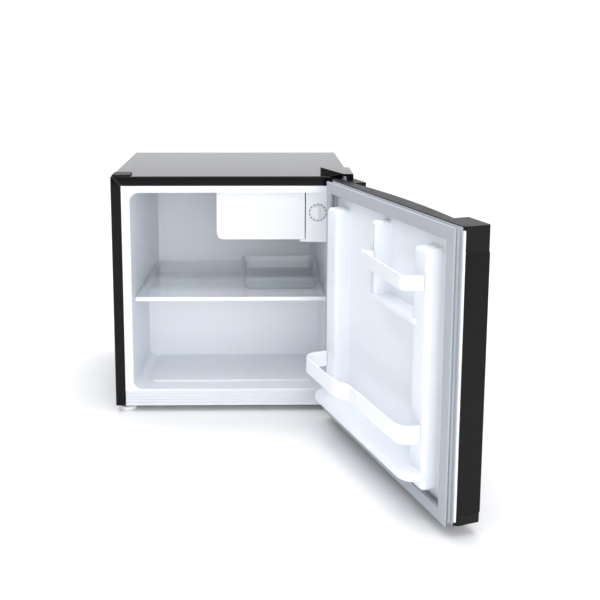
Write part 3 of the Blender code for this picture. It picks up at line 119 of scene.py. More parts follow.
# ------------------------------------------------------------------ camera
# A 54 mm lens 0.75 m above the floor and 1.7 m in front, looking a little down at the open
# cabinet. Part of the downward framing is lens shift, which keeps the uprights nearly upright.
lens = bpy.data.cameras.new("camera")
lens.lens = 53.75
lens.shift_x = 0.05
lens.shift_y = -0.20
lens.clip_end = 50.0
camera = bpy.data.objects.new("camera", lens)
camera.rotation_mode = "XYZ"
camera.location = (-0.0255, -1.6772, 0.7484)
camera.rotation_euler = (math.pi / 2 - 0.1564, -0.0012, -0.0138)
bpy.context.scene.collection.objects.link(camera)
bpy.context.scene.camera = camera


# ------------------------------------------------------------------ cabinet wrap
# One sheet of 1.2 mm steel roll-formed over both sides and the top, with a narrow flange turned
# in round the mouth. Powder-coated gloss black: it mirrors the room with a faint orange peel.
wrap_low, wrap_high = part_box("cabinet_wrap")
CABINET = Matrix.Translation(((wrap_low[0] + wrap_high[0]) / 2, wrap_low[1], 0.0))
SHEET = 0.0012
FLANGE_SIDE = 0.020
FLANGE_TOP = 0.0185
WRAP_RADIUS = 0.0025


def srgb(code):
    """A colour's hex code, such as #b4b9bf, as linear red, green, blue and alpha."""
    values = [int(code[i:i + 2], 16) / 255 for i in (1, 3, 5)]
    return (*(v / 12.92 if v <= 0.04045 else ((v + 0.055) / 1.055) ** 2.4 for v in values), 1.0)


def add_node(material, kind, settings=None, inputs=None):
    made = material.node_tree.nodes.new(kind)
    for key, value in (settings or {}).items():
        setattr(made, key, value)
    for key, value in (inputs or {}).items():
        if isinstance(value, bpy.types.NodeSocket):
            material.node_tree.links.new(value, made.inputs[key])
        else:
            made.inputs[key].default_value = value
    return made


def new_finish(name, sockets):
    made = bpy.data.materials.new(name)
    made.use_nodes = True
    for socket, value in sockets.items():
        made.node_tree.nodes["Principled BSDF"].inputs[socket].default_value = value
    return made


def skin(material, colours, roughness, size, depth, patch=0.09):
    """A surface whose colour and gloss drift over a hand's breadth, with a fine relief."""
    shader = material.node_tree.nodes["Principled BSDF"]
    place = add_node(material, "ShaderNodeTexCoord").outputs["Object"]
    drift = add_node(
        material, "ShaderNodeTexNoise", None, {"Vector": place, "Scale": 1 / patch, "Detail": 5.0}
    )
    tone = add_node(
        material,
        "ShaderNodeMix",
        {"data_type": "RGBA"},
        {0: drift.outputs["Fac"], 6: srgb(colours[0]), 7: srgb(colours[1])},
    )
    gloss = add_node(
        material,
        "ShaderNodeMapRange",
        None,
        {
            "Value": drift.outputs["Fac"],
            "From Min": 0.3,
            "From Max": 0.7,
            "To Min": roughness[0],
            "To Max": roughness[1],
        },
    )
    relief = add_node(
        material,
        "ShaderNodeTexNoise",
        None,
        {"Vector": place, "Scale": 1 / size, "Detail": 3.0, "Roughness": 0.55},
    )
    bump = add_node(
        material, "ShaderNodeBump", None, {"Height": relief.outputs["Fac"], "Distance": depth}
    )
    links = material.node_tree.links
    links.new(tone.outputs[2], shader.inputs["Base Color"])
    links.new(gloss.outputs["Result"], shader.inputs["Roughness"])
    links.new(bump.outputs["Normal"], shader.inputs["Normal"])
    return bump


def make_piece(name, bm, finish, body, nodes=(), place=CABINET, crease=35.0):
    bm.transform(place)
    mesh = bpy.data.meshes.new(name)
    bm.to_mesh(mesh)
    bm.free()
    mesh.shade_smooth()
    mesh.set_sharp_from_angle(angle=math.radians(crease))
    mesh.materials.append(finish)
    piece = bpy.data.objects.new(name, mesh)
    bpy.context.scene.collection.objects.link(piece)
    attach(piece, body)
    if nodes:
        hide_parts(*nodes)
    return piece


def wall(piece, thickness):
    """Gives an open skin its thickness, inwards from the side that shows."""
    made = piece.modifiers.new("thickness", "SOLIDIFY")
    made.thickness = thickness
    made.offset = -1.0
    made.use_even_offset = True


def ease(piece, width, segments=3, angle=32.0):
    """Rounds the edges that turn by more than an angle, and keeps flat faces flat."""
    made = piece.modifiers.new("eased edges", "BEVEL")
    made.width = width
    made.segments = segments
    made.limit_method = "ANGLE"
    made.angle_limit = math.radians(angle)
    made.use_clamp_overlap = True
    flat = piece.modifiers.new("flat faces", "WEIGHTED_NORMAL")
    flat.keep_sharp = True


def block(low, high):
    bm = bmesh.new()
    bmesh.ops.create_cube(bm, size=1.0)
    for vert in bm.verts:
        vert.co = [low[i] if vert.co[i] < 0 else high[i] for i in range(3)]
    return bm


def faces_facing(bm, *ways):
    return [f for f in bm.faces if any(f.normal.dot(Vector(way)) > 0.99 for way in ways)]


def edges_between(bm, steepest=60.0):
    """The edges where two faces meet at more than an angle."""
    limit = math.radians(steepest)
    return [e for e in bm.edges if len(e.link_faces) == 2 and e.calc_face_angle() > limit]


black_gloss = new_finish(
    "gloss black powder coat on steel",
    {"IOR": 1.35, "Specular IOR Level": 0.35},
)
# Orange peel 2 mm across and two thousandths of a millimetre deep.
skin(black_gloss, ("#030304", "#060607"), (0.07, 0.12), 0.002, 0.000002, patch=0.2)

half = (wrap_high[0] - wrap_low[0]) / 2
depth = wrap_high[1] - wrap_low[1]
bm = block((-half, 0.0, wrap_low[2]), (half, depth, wrap_high[2]))
bmesh.ops.delete(bm, geom=faces_facing(bm, (0, 1, 0), (0, 0, -1)), context="FACES")
bmesh.ops.bevel(
    bm,
    geom=edges_between(bm),
    offset=WRAP_RADIUS,
    segments=5,
    profile=0.5,
    affect="EDGES",
    material=-1,
)
for cut_at, way in (
    ((half - FLANGE_SIDE, 0, 0), (1, 0, 0)),
    ((FLANGE_SIDE - half, 0, 0), (1, 0, 0)),
    ((0, 0, wrap_high[2] - FLANGE_TOP), (0, 0, 1)),
):
    front = faces_facing(bm, (0, -1, 0))
    rim = {v for f in front for v in f.verts} | {e for f in front for e in f.edges}
    bmesh.ops.bisect_plane(
        bm,
        geom=front + list(rim),
        plane_co=cut_at,
        plane_no=way,
    )
inner = [
    f
    for f in faces_facing(bm, (0, -1, 0))
    if abs(f.calc_center_median().x) < half - FLANGE_SIDE
    and f.calc_center_median().z < wrap_high[2] - FLANGE_TOP
]
bmesh.ops.delete(bm, geom=inner, context="FACES")
wrap = make_piece("cabinet_steel_wrap", bm, black_gloss, "cabinet", ["cabinet_wrap"])
wall(wrap, SHEET)
ease(wrap, 0.0003, 2, 60.0)
# The flange's side and top strips meet at the free corner in a welded and ground mitre. Its two
# hairlines are thin strips painted mid grey: painted highlights where the mitre's edges catch
# light.
mitre_highlight_finish = new_finish("painted highlight along the flange mitre", {"IOR": 1.45})
# Mid grey on the black paint: a painted highlight, not the colour of the seam.
skin(mitre_highlight_finish, ("#3a3a3e", "#515156"), (0.3, 0.45), 0.0008, 0.00001)
SEAM = (0.0262, 0.00012, 0.0005)
SEAM_SPACING = 0.004
mitre = bmesh.new()
for shift in (0.0, SEAM_SPACING):
    made = bmesh.ops.create_cube(mitre, size=1.0)["verts"]
    bmesh.ops.scale(mitre, vec=SEAM, verts=made)
    turn = Matrix.Rotation(math.atan2(FLANGE_TOP, FLANGE_SIDE), 4, "Y")
    spot = (0.0105 - half + shift, -0.00002, wrap_high[2] - FLANGE_TOP / 2 - 0.0002)
    bmesh.ops.transform(mitre, matrix=Matrix.Translation(spot) @ turn, verts=made)
make_piece("flange_mitre", mitre, mitre_highlight_finish, "cabinet")


# ------------------------------------------------------------------ corner cap and hinge cover
# A thin cap clipped to the free front corner of the top, moulded in black ABS from a
# spark-eroded tool, so it is satin with a grain like fine paper. At the other corner a taller
# cover hides the hinge plate. It has the same gloss paint as the cabinet.
def cad_copy(node):
    """The CAD node's shape with its triangles merged back into flat faces."""
    bm = bmesh.new()
    bm.from_mesh(frame["nodes"][node].data)
    bmesh.ops.remove_doubles(bm, verts=bm.verts, dist=0.00001)
    bmesh.ops.dissolve_limit(
        bm, angle_limit=math.radians(0.4), verts=bm.verts, edges=bm.edges
    )
    return bm


def eased_copy(node, finish, body, width, segments=3):
    """The CAD node's own shape with its edges eased, in place of it."""
    piece = make_piece(
        node + "_finished", cad_copy(node), finish, body, [node], place=Matrix()
    )
    if width:
        ease(piece, width, segments)


black_abs = new_finish("spark-eroded black ABS", {"IOR": 1.4, "Specular IOR Level": 0.35})
skin(black_abs, ("#040405", "#080809"), (0.4, 0.5), 0.0006, 0.00002)
eased_copy("corner_cap_left", black_abs, "cabinet", 0.0008)
eased_copy("top_hinge_cover", black_gloss, "cabinet", 0.0010)

# ------------------------------------------------------------------ hinge hardware
# Pressed steel plates, pins, collar and screws, zinc plated and passivated: pale grey metal with
# the small crystal flowers of the plating.
zinc = new_finish("bright zinc plating on pressed steel", {"Metallic": 1.0, "Anisotropic": 0.2})
skin(zinc, ("#a9adb3", "#c9cdd2"), (0.28, 0.42), 0.0008, 0.000008, patch=0.03)
zinc_place = add_node(zinc, "ShaderNodeTexCoord").outputs["Object"]
# Spangles about 4 mm across.
spangle = add_node(zinc, "ShaderNodeTexVoronoi", None, {"Vector": zinc_place, "Scale": 1 / 0.004})
spangle_tone = add_node(
    zinc,
    "ShaderNodeMix",
    {"data_type": "RGBA"},
    {0: spangle.outputs["Distance"], 6: srgb("#b4b8be"), 7: srgb("#d4d7db")},
)
zinc.node_tree.links.new(
    spangle_tone.outputs[2], zinc.node_tree.nodes["Principled BSDF"].inputs["Base Color"]
)
for node in (
    "top_hinge_plate",
    "top_hinge_pin",
    "top_hinge_screw_1",
    "top_hinge_screw_2",
    "bottom_hinge_plate",
    "bottom_hinge_pin",
    "bottom_hinge_screw",
):
    eased_copy(node, zinc, "cabinet", 0.0003, 2)

# ------------------------------------------------------------------ liner of the food space
# Vacuum-formed high-impact polystyrene, cool white and glossy, drawn over a male tool: soft
# corners, walls that lean in towards the back, and a faint ripple left by the hot sheet.
white_hips = new_finish(
    "glossy white high-impact polystyrene",
    {"IOR": 1.59, "Subsurface Weight": 0.06, "Subsurface Scale": 0.003},
)
skin(white_hips, ("#e9edf4", "#eff2f7"), (0.3, 0.38), 0.003, 0.000006, patch=0.12)
eased_copy("inner_liner", white_hips, "cabinet", 0.0014, 3)

# ------------------------------------------------------------------ front sill
# Extruded strip of pale grey PVC under the mouth, with four grooves along its length. It is
# satin, with fine draw lines from the die.
grey_pvc = new_finish("extruded pale grey PVC", {"IOR": 1.54})
skin(grey_pvc, ("#dfe2e8", "#e8eaef"), (0.36, 0.46), 0.0012, 0.00002)
eased_copy("front_sill", grey_pvc, "cabinet", 0.0004, 2)


# ------------------------------------------------------------------ feet
# Front levelling feet: ribbed discs moulded in natural, milky polyamide on a threaded stem.
# Rear feet: plain black rubber buttons.
def turned(profile, steps=48):
    """Spins radius and height pairs about the Z axis into a closed shape."""
    bm = bmesh.new()
    verts = [bm.verts.new((radius, 0.0, height)) for radius, height in profile]
    edges = [bm.edges.new(pair) for pair in zip(verts, verts[1:])]
    bmesh.ops.spin(
        bm,
        geom=verts + edges,
        cent=(0, 0, 0),
        axis=(0, 0, 1),
        angle=math.tau,
        steps=steps,
        use_merge=True,
    )
    bmesh.ops.remove_doubles(bm, verts=bm.verts, dist=0.00001)
    bmesh.ops.recalc_face_normals(bm, faces=bm.faces)
    return bm


def middle(node):
    low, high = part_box(node)
    return [(a + b) / 2 for a, b in zip(low, high)]


milky_nylon = new_finish(
    "natural polyamide",
    {"IOR": 1.53, "Subsurface Weight": 0.25, "Subsurface Scale": 0.004},
)
skin(milky_nylon, ("#dfe1e2", "#ebecec"), (0.35, 0.48), 0.001, 0.00003)
FOOT_RIM = 0.0165
FOOT_RIB_INSIDE = 0.0159
RIB_COUNT = 72
THREAD_TOP = 0.0290
THREAD_PITCH = 0.00125
THREAD_CREST = 0.0040
THREAD_ROOT = 0.0034
for side in ("left", "right"):
    node = "front_foot_" + side
    x, y, _ = middle(node)
    thread = []
    for turn in range(14):
        height = THREAD_TOP - turn * THREAD_PITCH
        thread += [(THREAD_CREST, height), (THREAD_ROOT, height - THREAD_PITCH / 2)]
    foot = turned(
        [(0.0, THREAD_TOP + 0.0005), (THREAD_ROOT, THREAD_TOP + 0.0005)]
        + thread
        + [(THREAD_ROOT, 0.0098), (0.0145, 0.0094), (0.0160, 0.0088), (FOOT_RIM, 0.0078)]
        + [(FOOT_RIM, 0.0026), (0.0158, 0.0008), (0.0140, 0.0), (0.0, 0.0)],
        RIB_COUNT,
    )
    # Every third column of the rim is drawn in, which leaves the ribs that fingers grip.
    for vert in foot.verts:
        rim = math.hypot(vert.co.x, vert.co.y)
        column = round(math.atan2(vert.co.y, vert.co.x) / math.tau * RIB_COUNT) % 3
        if rim > FOOT_RIB_INSIDE and column == 0:
            vert.co.x *= 0.955
            vert.co.y *= 0.955
    make_piece(
        node + "_ribbed",
        foot,
        milky_nylon,
        "foot_" + side,
        [node],
        place=Matrix.Translation((x, y, 0.0)),
    )
rubber = new_finish("moulded black rubber", {"IOR": 1.52})
skin(rubber, ("#141414", "#1d1d1e"), (0.7, 0.85), 0.0009, 0.00005)
for node in ("rear_foot_left", "rear_foot_right"):
    eased_copy(node, rubber, "cabinet", 0.0008)

# ------------------------------------------------------------------ evaporator box
# Roll-bonded aluminium sheet bent into a box behind the flap: dull silver, with the faint
# unevenness that the rolls leave.
roll_bond = new_finish("roll-bonded aluminium", {"Metallic": 1.0})
skin(roll_bond, ("#c2c5c8", "#d6d8da"), (0.34, 0.46), 0.0015, 0.00003)
eased_copy("ice_box", roll_bond, "cabinet", 0.0005, 2)

# ------------------------------------------------------------------ ice-box flap
# Injection-moulded white polystyrene panel with a soft lower corner, dished at the back.
white_moulded = new_finish(
    "moulded white polystyrene",
    {"IOR": 1.59, "Subsurface Weight": 0.08, "Subsurface Scale": 0.003},
)
skin(white_moulded, ("#f0f2f7", "#f7f8fb"), (0.28, 0.38), 0.0011, 0.00001)
eased_copy("ice_box_flap", white_moulded, "flap", 0.0012)

# ------------------------------------------------------------------ thermostat
# White housing with a steel capillary thermostat inside, a printed scale of dashes on its face,
# and a turning knob with a finger grip across it.
eased_copy("thermostat_housing", white_moulded, "cabinet", 0.0010)
eased_copy("thermostat_body", zinc, "cabinet", 0.0006, 2)
knob_low, knob_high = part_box("thermostat_knob")
knob_x = (knob_low[0] + knob_high[0]) / 2
knob_z = (knob_low[2] + knob_high[2]) / 2
face_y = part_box("thermostat_housing")[0][1]
AWAY_FROM_FACE = Matrix.Translation((knob_x, face_y, knob_z)) @ Matrix.Rotation(math.pi / 2, 4, "X")
knob = turned(
    [(0.0, 0.0061), (0.0122, 0.0060), (0.0134, 0.0056), (0.0139, 0.0048)]
    + [(0.0145, 0.0008), (0.0143, 0.0004), (0.0138, 0.0003), (0.0030, 0.0003)]
    + [(0.0030, -0.0135), (0.0, -0.0135)],
    64,
)
make_piece(
    "thermostat_knob_disc",
    knob,
    white_moulded,
    "knob",
    ["thermostat_knob"],
    place=AWAY_FROM_FACE,
)
GRIP_HALF = (0.0029, 0.0118)
GRIP_FOOT, GRIP_TOP = 0.0050, 0.0119
grip = block((-GRIP_HALF[0], -GRIP_HALF[1], GRIP_FOOT), (GRIP_HALF[0], GRIP_HALF[1], GRIP_TOP))
for vert in grip.verts:
    if vert.co.z > GRIP_FOOT + 0.001:
        vert.co.x *= 0.62
        vert.co.y *= 0.93
grip = make_piece(
    "thermostat_knob_grip", grip, white_moulded, "knob", place=AWAY_FROM_FACE
)
ease(grip, 0.0009)
print_grey = new_finish("dark grey pad-printing ink", {"IOR": 1.45})
skin(print_grey, ("#25272b", "#33363a"), (0.5, 0.6), 0.0006, 0.000004)
DASH_COUNT = 14
DASH = (0.0050, 0.0015, 0.0002)
DIAL_RADIUS = 0.0170
dashes = bmesh.new()
for step in range(DASH_COUNT):
    angle = math.tau * step / DASH_COUNT
    made = bmesh.ops.create_cube(dashes, size=1.0)["verts"]
    bmesh.ops.scale(dashes, vec=DASH, verts=made)
    turn = Matrix.Rotation(angle, 4, "Z") @ Matrix.Translation((0.0, DIAL_RADIUS, DASH[2] / 2))
    bmesh.ops.transform(dashes, matrix=turn, verts=made)
make_piece("thermostat_scale", dashes, print_grey, "cabinet", place=AWAY_FROM_FACE)

# ------------------------------------------------------------------ shelf
# A 4 mm pane of clear toughened glass, its front edge bedded in a white moulded strip.
clear_glass = new_finish(
    "clear toughened glass",
    {"Transmission Weight": 1.0, "IOR": 1.45, "Alpha": 0.55},
)
skin(clear_glass, ("#f4faf8", "#fafdfc"), (0.0, 0.03), 0.03, 0.000004)
eased_copy("shelf_glass", clear_glass, "shelf", 0.0005, 2)
eased_copy("shelf_trim", white_moulded, "shelf", 0.0007)

# ------------------------------------------------------------------ drip tray
# Clear general-purpose polystyrene, injection moulded 2 mm thick with a polished tool.
clear_ps = new_finish(
    "clear polystyrene",
    {"Transmission Weight": 1.0, "IOR": 1.45, "Alpha": 0.5},
)
skin(clear_ps, ("#eef3f6", "#f6f9fb"), (0.02, 0.07), 0.01, 0.00001)
eased_copy("drip_tray", clear_ps, "tray", 0.0006, 2)

# ------------------------------------------------------------------ door skin
# Steel sheet folded round the long sides of the door, coated like the cabinet.
skin_low, skin_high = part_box("door_skin")
hinge = next(joint for joint in frame["joints"] if joint["name"] == "door_hinge")
OPEN_BY = -math.radians(hinge["range_deg"][0])
PIN = Matrix.Translation((hinge["pos_m"][0], hinge["pos_m"][1], 0.0))
DOOR = PIN @ Matrix.Rotation(OPEN_BY, 4, "Z") @ PIN.inverted() @ CABINET
DOOR_OUTER = -0.0606
DOOR_INNER = -0.015
DOOR_RIM = 0.004
GAP = 0.0003
bm = block((-half, DOOR_OUTER, skin_low[2]), (half, DOOR_INNER - DOOR_RIM - GAP, skin_high[2]))
bmesh.ops.delete(bm, geom=faces_facing(bm, (0, 1, 0), (0, 0, -1), (0, 0, 1)), context="FACES")
bmesh.ops.bevel(
    bm,
    geom=edges_between(bm),
    offset=0.0015,
    segments=4,
    profile=0.5,
    affect="EDGES",
    material=-1,
)
door_skin = make_piece(
    "door_steel_skin", bm, black_gloss, "door", ["door_skin"], place=DOOR
)
wall(door_skin, SHEET)
ease(door_skin, 0.0003, 2, 60.0)

# ------------------------------------------------------------------ door caps and bushes
# Black ABS mouldings that close the door's ends. The top one has the pull grip scooped out
# behind a thin lip. Acetal bushes are pressed into both for the hinge pins.
eased_copy("door_top_cap", black_abs, "door", 0.0009)
eased_copy("door_bottom_cap", black_abs, "door", 0.0009)
for node in ("top_hinge_bush", "bottom_hinge_bush"):
    eased_copy(node, milky_nylon, "door", 0.0003, 2)

# ------------------------------------------------------------------ door liner
# Vacuum-formed like the cabinet's liner, with upright dykes, a centre partition and two ledges
# drawn up from one sheet.
liner_low, liner_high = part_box("door_liner")
liner_half = half - GAP
SINK = 0.0005


def raised_form(bm, low, high, reach, corner, foot, crown):
    """A form drawn up from the sheet: flared foot, leaning walls and a soft crown."""
    made = bmesh.ops.create_grid(bm, x_segments=1, y_segments=1, size=0.5)["verts"]
    for vert in made:
        across, up = vert.co.x + 0.5, vert.co.y + 0.5
        vert.co.x = low[0] - foot + (high[0] - low[0] + 2 * foot) * across
        vert.co.z = low[1] - foot + (high[1] - low[1] + 2 * foot) * up
        vert.co.y = DOOR_INNER - SINK
    bmesh.ops.reverse_faces(bm, faces=made[0].link_faces[:])
    bmesh.ops.bevel(
        bm, geom=made, offset=corner + foot, segments=8, profile=0.5, affect="VERTICES", material=-1
    )
    top = [f for f in bm.faces if all(abs(v.co.y - DOOR_INNER + SINK) < 1e-7 for v in f.verts)][-1:]
    turns = [math.radians(15 * i) for i in range(7)]
    steps = [
        (foot * (math.sin(b) - math.sin(a)), foot * (math.cos(a) - math.cos(b)))
        for a, b in zip(turns, turns[1:])
    ]
    lean = 0.02 * (reach - foot - crown)
    steps += [(lean, reach + SINK - foot - crown)]
    steps += [
        (crown * (math.cos(a) - math.cos(b)), crown * (math.sin(b) - math.sin(a)))
        for a, b in zip(turns, turns[1:])
    ]
    for inward, up in steps:
        bm.normal_update()
        bmesh.ops.inset_region(
            bm, faces=top, thickness=inward, depth=up, use_even_offset=True, use_boundary=True
        )


def shelf_form(bm, low, high, round_corner, edge):
    """A ledge with rounded plan corners and softened edges."""
    made = bmesh.ops.create_cube(bm, size=1.0)["verts"]
    for vert in made:
        vert.co = [low[i] if vert.co[i] < 0 else high[i] for i in range(3)]
    front = [
        e
        for e in {e for v in made for e in v.link_edges}
        if all(abs(v.co.y - high[1]) < 1e-7 for v in e.verts)
        and abs(e.verts[0].co.z - e.verts[1].co.z) > 1e-4
    ]
    rounded = bmesh.ops.bevel(
        bm, geom=front, offset=round_corner, segments=10, profile=0.5, affect="EDGES", material=-1
    )
    linked = {v for f in rounded["faces"] for v in f.verts} | {v for v in made if v.is_valid}
    bm.normal_update()
    rims = [
        e
        for e in {e for v in linked for e in v.link_edges}
        if e.calc_face_angle(0.0) > 1.2 and max(v.co.y for v in e.verts) > low[1] + 1e-4
    ]
    bmesh.ops.bevel(
        bm, geom=rims, offset=edge, segments=4, profile=0.5, affect="EDGES", material=-1
    )


bm = block(
    (-liner_half, DOOR_INNER - DOOR_RIM, liner_low[2]), (liner_half, DOOR_INNER, liner_high[2])
)
bmesh.ops.bevel(
    bm,
    geom=edges_between(bm),
    offset=0.0014,
    segments=4,
    profile=0.5,
    affect="EDGES",
    material=-1,
)
# Places below are on the shut door, from the cabinet's middle and the floor.
DYKE = (0.141, 0.187)
DYKE_LOW, DYKE_HIGH = 0.055, 0.440
PARTITION_LEFT, PARTITION_RIGHT = -0.016, 0.004
PARTITION_LOW, PARTITION_HIGH = 0.312, 0.450
FORM_REACH = 0.029
FACE = DOOR_INNER - SINK


def draw_forms(bm, within):
    """Dykes, centre partition and both ledges, or the foam's copy of them a little way within."""
    for side in (-1, 1):
        across = sorted((side * DYKE[0], side * DYKE[1]))
        raised_form(
            bm,
            (across[0] + within, DYKE_LOW + within),
            (across[1] - within, DYKE_HIGH - within),
            FORM_REACH - within,
            0.010,
            0.004,
            0.008,
        )
    raised_form(
        bm,
        (PARTITION_LEFT + within, PARTITION_LOW + within),
        (PARTITION_RIGHT - within, PARTITION_HIGH - within),
        FORM_REACH - within,
        0.006,
        0.003,
        0.0065,
    )
    shelf_form(
        bm,
        (-0.160 + within, FACE, 0.3155 + within),
        (0.003 - within, 0.018 - within, 0.3255 - within),
        0.012,
        0.003,
    )
    shelf_form(
        bm,
        (-0.187 + within, FACE, 0.073 + within),
        (0.187 - within, 0.044 - within, 0.087 - within),
        0.030,
        0.0040,
    )


draw_forms(bm, 0.0)
make_piece(
    "door_liner_formed",
    bm,
    white_hips,
    "door",
    ["door_liner"],
    place=DOOR,
    crease=50.0,
)

# ------------------------------------------------------------------ foam
# Rigid polyurethane foam poured between skin and liner: pale ochre with a closed fine cell. In
# the door it fills the liner's forms as well.
foam = new_finish("poured rigid polyurethane foam", {"IOR": 1.4})
skin(foam, ("#d8c48c", "#e6d5a2"), (0.85, 0.95), 0.0012, 0.0003)
frame["nodes"]["foam_insulation"].data.materials.clear()
frame["nodes"]["foam_insulation"].data.materials.append(foam)
foam_low, foam_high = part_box("door_foam")
WITHIN = 0.0022
bm = block(
    (-half + SHEET + GAP, DOOR_OUTER + SHEET + GAP, foam_low[2] + WITHIN),
    (half - SHEET - GAP, DOOR_INNER - DOOR_RIM - GAP, foam_high[2] - WITHIN),
)
bmesh.ops.bevel(
    bm,
    geom=edges_between(bm),
    offset=0.002,
    segments=3,
    profile=0.5,
    affect="EDGES",
    material=-1,
)
draw_forms(bm, WITHIN)
make_piece("door_foam_core", bm, foam, "door", ["door_foam"], place=DOOR, crease=50.0)

# ------------------------------------------------------------------ gasket
# Soft grey PVC extrusion, mitred and welded at its corners: a foot on the door liner, two
# bellows folds, and a flat lobe with the magnet strip in it. Matte, with faint extrusion lines.
vinyl = new_finish("soft grey PVC seal", {"IOR": 1.5, "Sheen Weight": 0.1})
skin(vinyl, ("#a4a9b1", "#b0b5bc"), (0.48, 0.6), 0.0009, 0.00001)
SEAL_WIDTH = 0.0215
seal_left, seal_right = -half + 0.003, half - 0.014
seal_base, seal_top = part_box("door_gasket")[0][2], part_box("door_gasket")[1][2]
SEAL_PROFILE = [  # height over the liner, and how far each side is drawn in
    (0.0010, 0.0000),
    (0.0018, 0.0012),
    (0.0030, 0.0038),
    (0.0044, 0.0044),
    (0.0058, 0.0022),
    (0.0066, 0.0018),
    (0.0074, 0.0024),
    (0.0086, 0.0046),
    (0.0094, 0.0044),
    (0.0102, 0.0012),
    (0.0108, 0.0004),
    (0.0132, 0.0002),
    (0.0140, 0.0008),
    (0.0144, 0.0020),
]
bm = bmesh.new()
bmesh.ops.create_grid(bm, x_segments=1, y_segments=1, size=0.5)
for vert in bm.verts:
    vert.co.z = seal_base if vert.co.y < 0 else seal_top
    vert.co.x = seal_left if vert.co.x < 0 else seal_right
    vert.co.y = DOOR_INNER + GAP
bm.normal_update()
inset = bmesh.ops.inset_region(
    bm, faces=bm.faces[:], thickness=SEAL_WIDTH, depth=0.0, use_even_offset=True, use_boundary=True
)
centre = [f for f in bm.faces if f not in inset["faces"]]
bmesh.ops.delete(bm, geom=centre, context="FACES")
ring = bm.faces[:]
mid_x = (seal_left + seal_right) / 2
mid_z = (seal_base + seal_top) / 2
nominal_x = (seal_right - seal_left) / 2
nominal_z = (seal_top - seal_base) / 2
for height, drawn in SEAL_PROFILE:
    grown = bmesh.ops.extrude_face_region(bm, geom=ring)["geom"]
    ring = [item for item in grown if isinstance(item, bmesh.types.BMFace)]
    for vert in {v for f in ring for v in f.verts}:
        away_x, away_z = vert.co.x - mid_x, vert.co.z - mid_z
        outside = abs(away_x) > nominal_x - SEAL_WIDTH / 2
        reach_x = nominal_x - drawn if outside else nominal_x - SEAL_WIDTH + drawn
        reach_z = nominal_z - drawn if outside else nominal_z - SEAL_WIDTH + drawn
        vert.co.x = mid_x + math.copysign(reach_x, away_x)
        vert.co.z = mid_z + math.copysign(reach_z, away_z)
        vert.co.y = DOOR_INNER + GAP + height
bmesh.ops.recalc_face_normals(bm, faces=bm.faces)
make_piece("door_seal", bm, vinyl, "door", ["door_gasket"], place=DOOR, crease=60.0)


# ------------------------------------------------------------------ door racks
# Two loose bars of moulded white polystyrene that clip between the dykes: a full-width one that
# steps in towards the free side, and a half-width one that runs aslant to a point.
def arc(centre, radius, start, end, steps):
    """Points on an arc seen from above, with its angles in degrees."""
    turns = [math.radians(start + (end - start) * i / steps) for i in range(steps + 1)]
    return [(centre[0] + radius * math.cos(a), centre[1] + radius * math.sin(a)) for a in turns]


def bar(name, path, node, finish, thickness=0.003):
    low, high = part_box(node)[0][2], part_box(node)[1][2]
    bm = bmesh.new()
    verts = [bm.verts.new((x, y, low)) for x, y in path]
    edges = [bm.edges.new(pair) for pair in zip(verts, verts[1:])]
    grown = bmesh.ops.extrude_edge_only(bm, edges=edges)["geom"]
    lifted = [item for item in grown if isinstance(item, bmesh.types.BMVert)]
    bmesh.ops.translate(bm, verts=lifted, vec=(0.0, 0.0, high - low))
    bmesh.ops.recalc_face_normals(bm, faces=bm.faces)
    made = make_piece(name, bm, finish, "door", [node], place=DOOR)
    band = made.modifiers.new("thickness", "SOLIDIFY")
    band.thickness = thickness
    band.offset = 0.0
    band.use_even_offset = True
    ease(made, 0.0012, 3, 50.0)


BAR_END = half - 0.058
BAR_START = DOOR_INNER + 0.029 + 2 * GAP
DEEP, SHALLOW = 0.063, 0.048
ROUND = 0.024
lower = [(BAR_END, BAR_START)]
lower += arc((BAR_END - ROUND, DEEP - ROUND), ROUND, 0, 90, 16)
for i in range(1, 24):
    t = i / 24
    lower.append((0.042 - 0.040 * t, DEEP - (DEEP - SHALLOW) * t * t * (3 - 2 * t)))
lower += arc((-BAR_END + ROUND, SHALLOW - ROUND), ROUND, 90, 180, 16)
lower.append((-BAR_END, BAR_START))
bar("lower_rack_bar_finished", lower, "lower_bottle_bar", white_moulded)
upper = [(-BAR_END, BAR_START + 0.0008)]
upper += arc((-BAR_END + 0.019, 0.037), 0.008, 165, 92, 12)
upper += [(0.0030, 0.0304), (0.0044, 0.0296), (0.0036, 0.0282), (-0.012, BAR_START + 0.0012)]
reeded = new_finish(
    "reeded white polystyrene",
    {"IOR": 1.59, "Subsurface Weight": 0.08, "Subsurface Scale": 0.003},
)
reeded_bump = skin(reeded, ("#f0f2f7", "#f7f8fb"), (0.28, 0.38), 0.0011, 0.00001)
reeds = add_node(
    reeded,
    "ShaderNodeTexWave",
    {"bands_direction": "Z", "wave_profile": "SIN"},
    {
        "Vector": add_node(reeded, "ShaderNodeTexCoord").outputs["Object"],
        # The wave repeats every 0.314 / scale, which makes 3.2 mm reeds.
        "Scale": 0.314 / 0.0032,
        "Distortion": 0.0,
    },
)
reed_bump = add_node(
    reeded,
    "ShaderNodeBump",
    None,
    {"Height": reeds.outputs["Fac"], "Distance": 0.00025, "Normal": reeded_bump.outputs["Normal"]},
)
reeded.node_tree.links.new(
    reed_bump.outputs["Normal"], reeded.node_tree.nodes["Principled BSDF"].inputs["Normal"]
)
bar("upper_rack_bar_finished", upper, "upper_rack_bar", reeded)
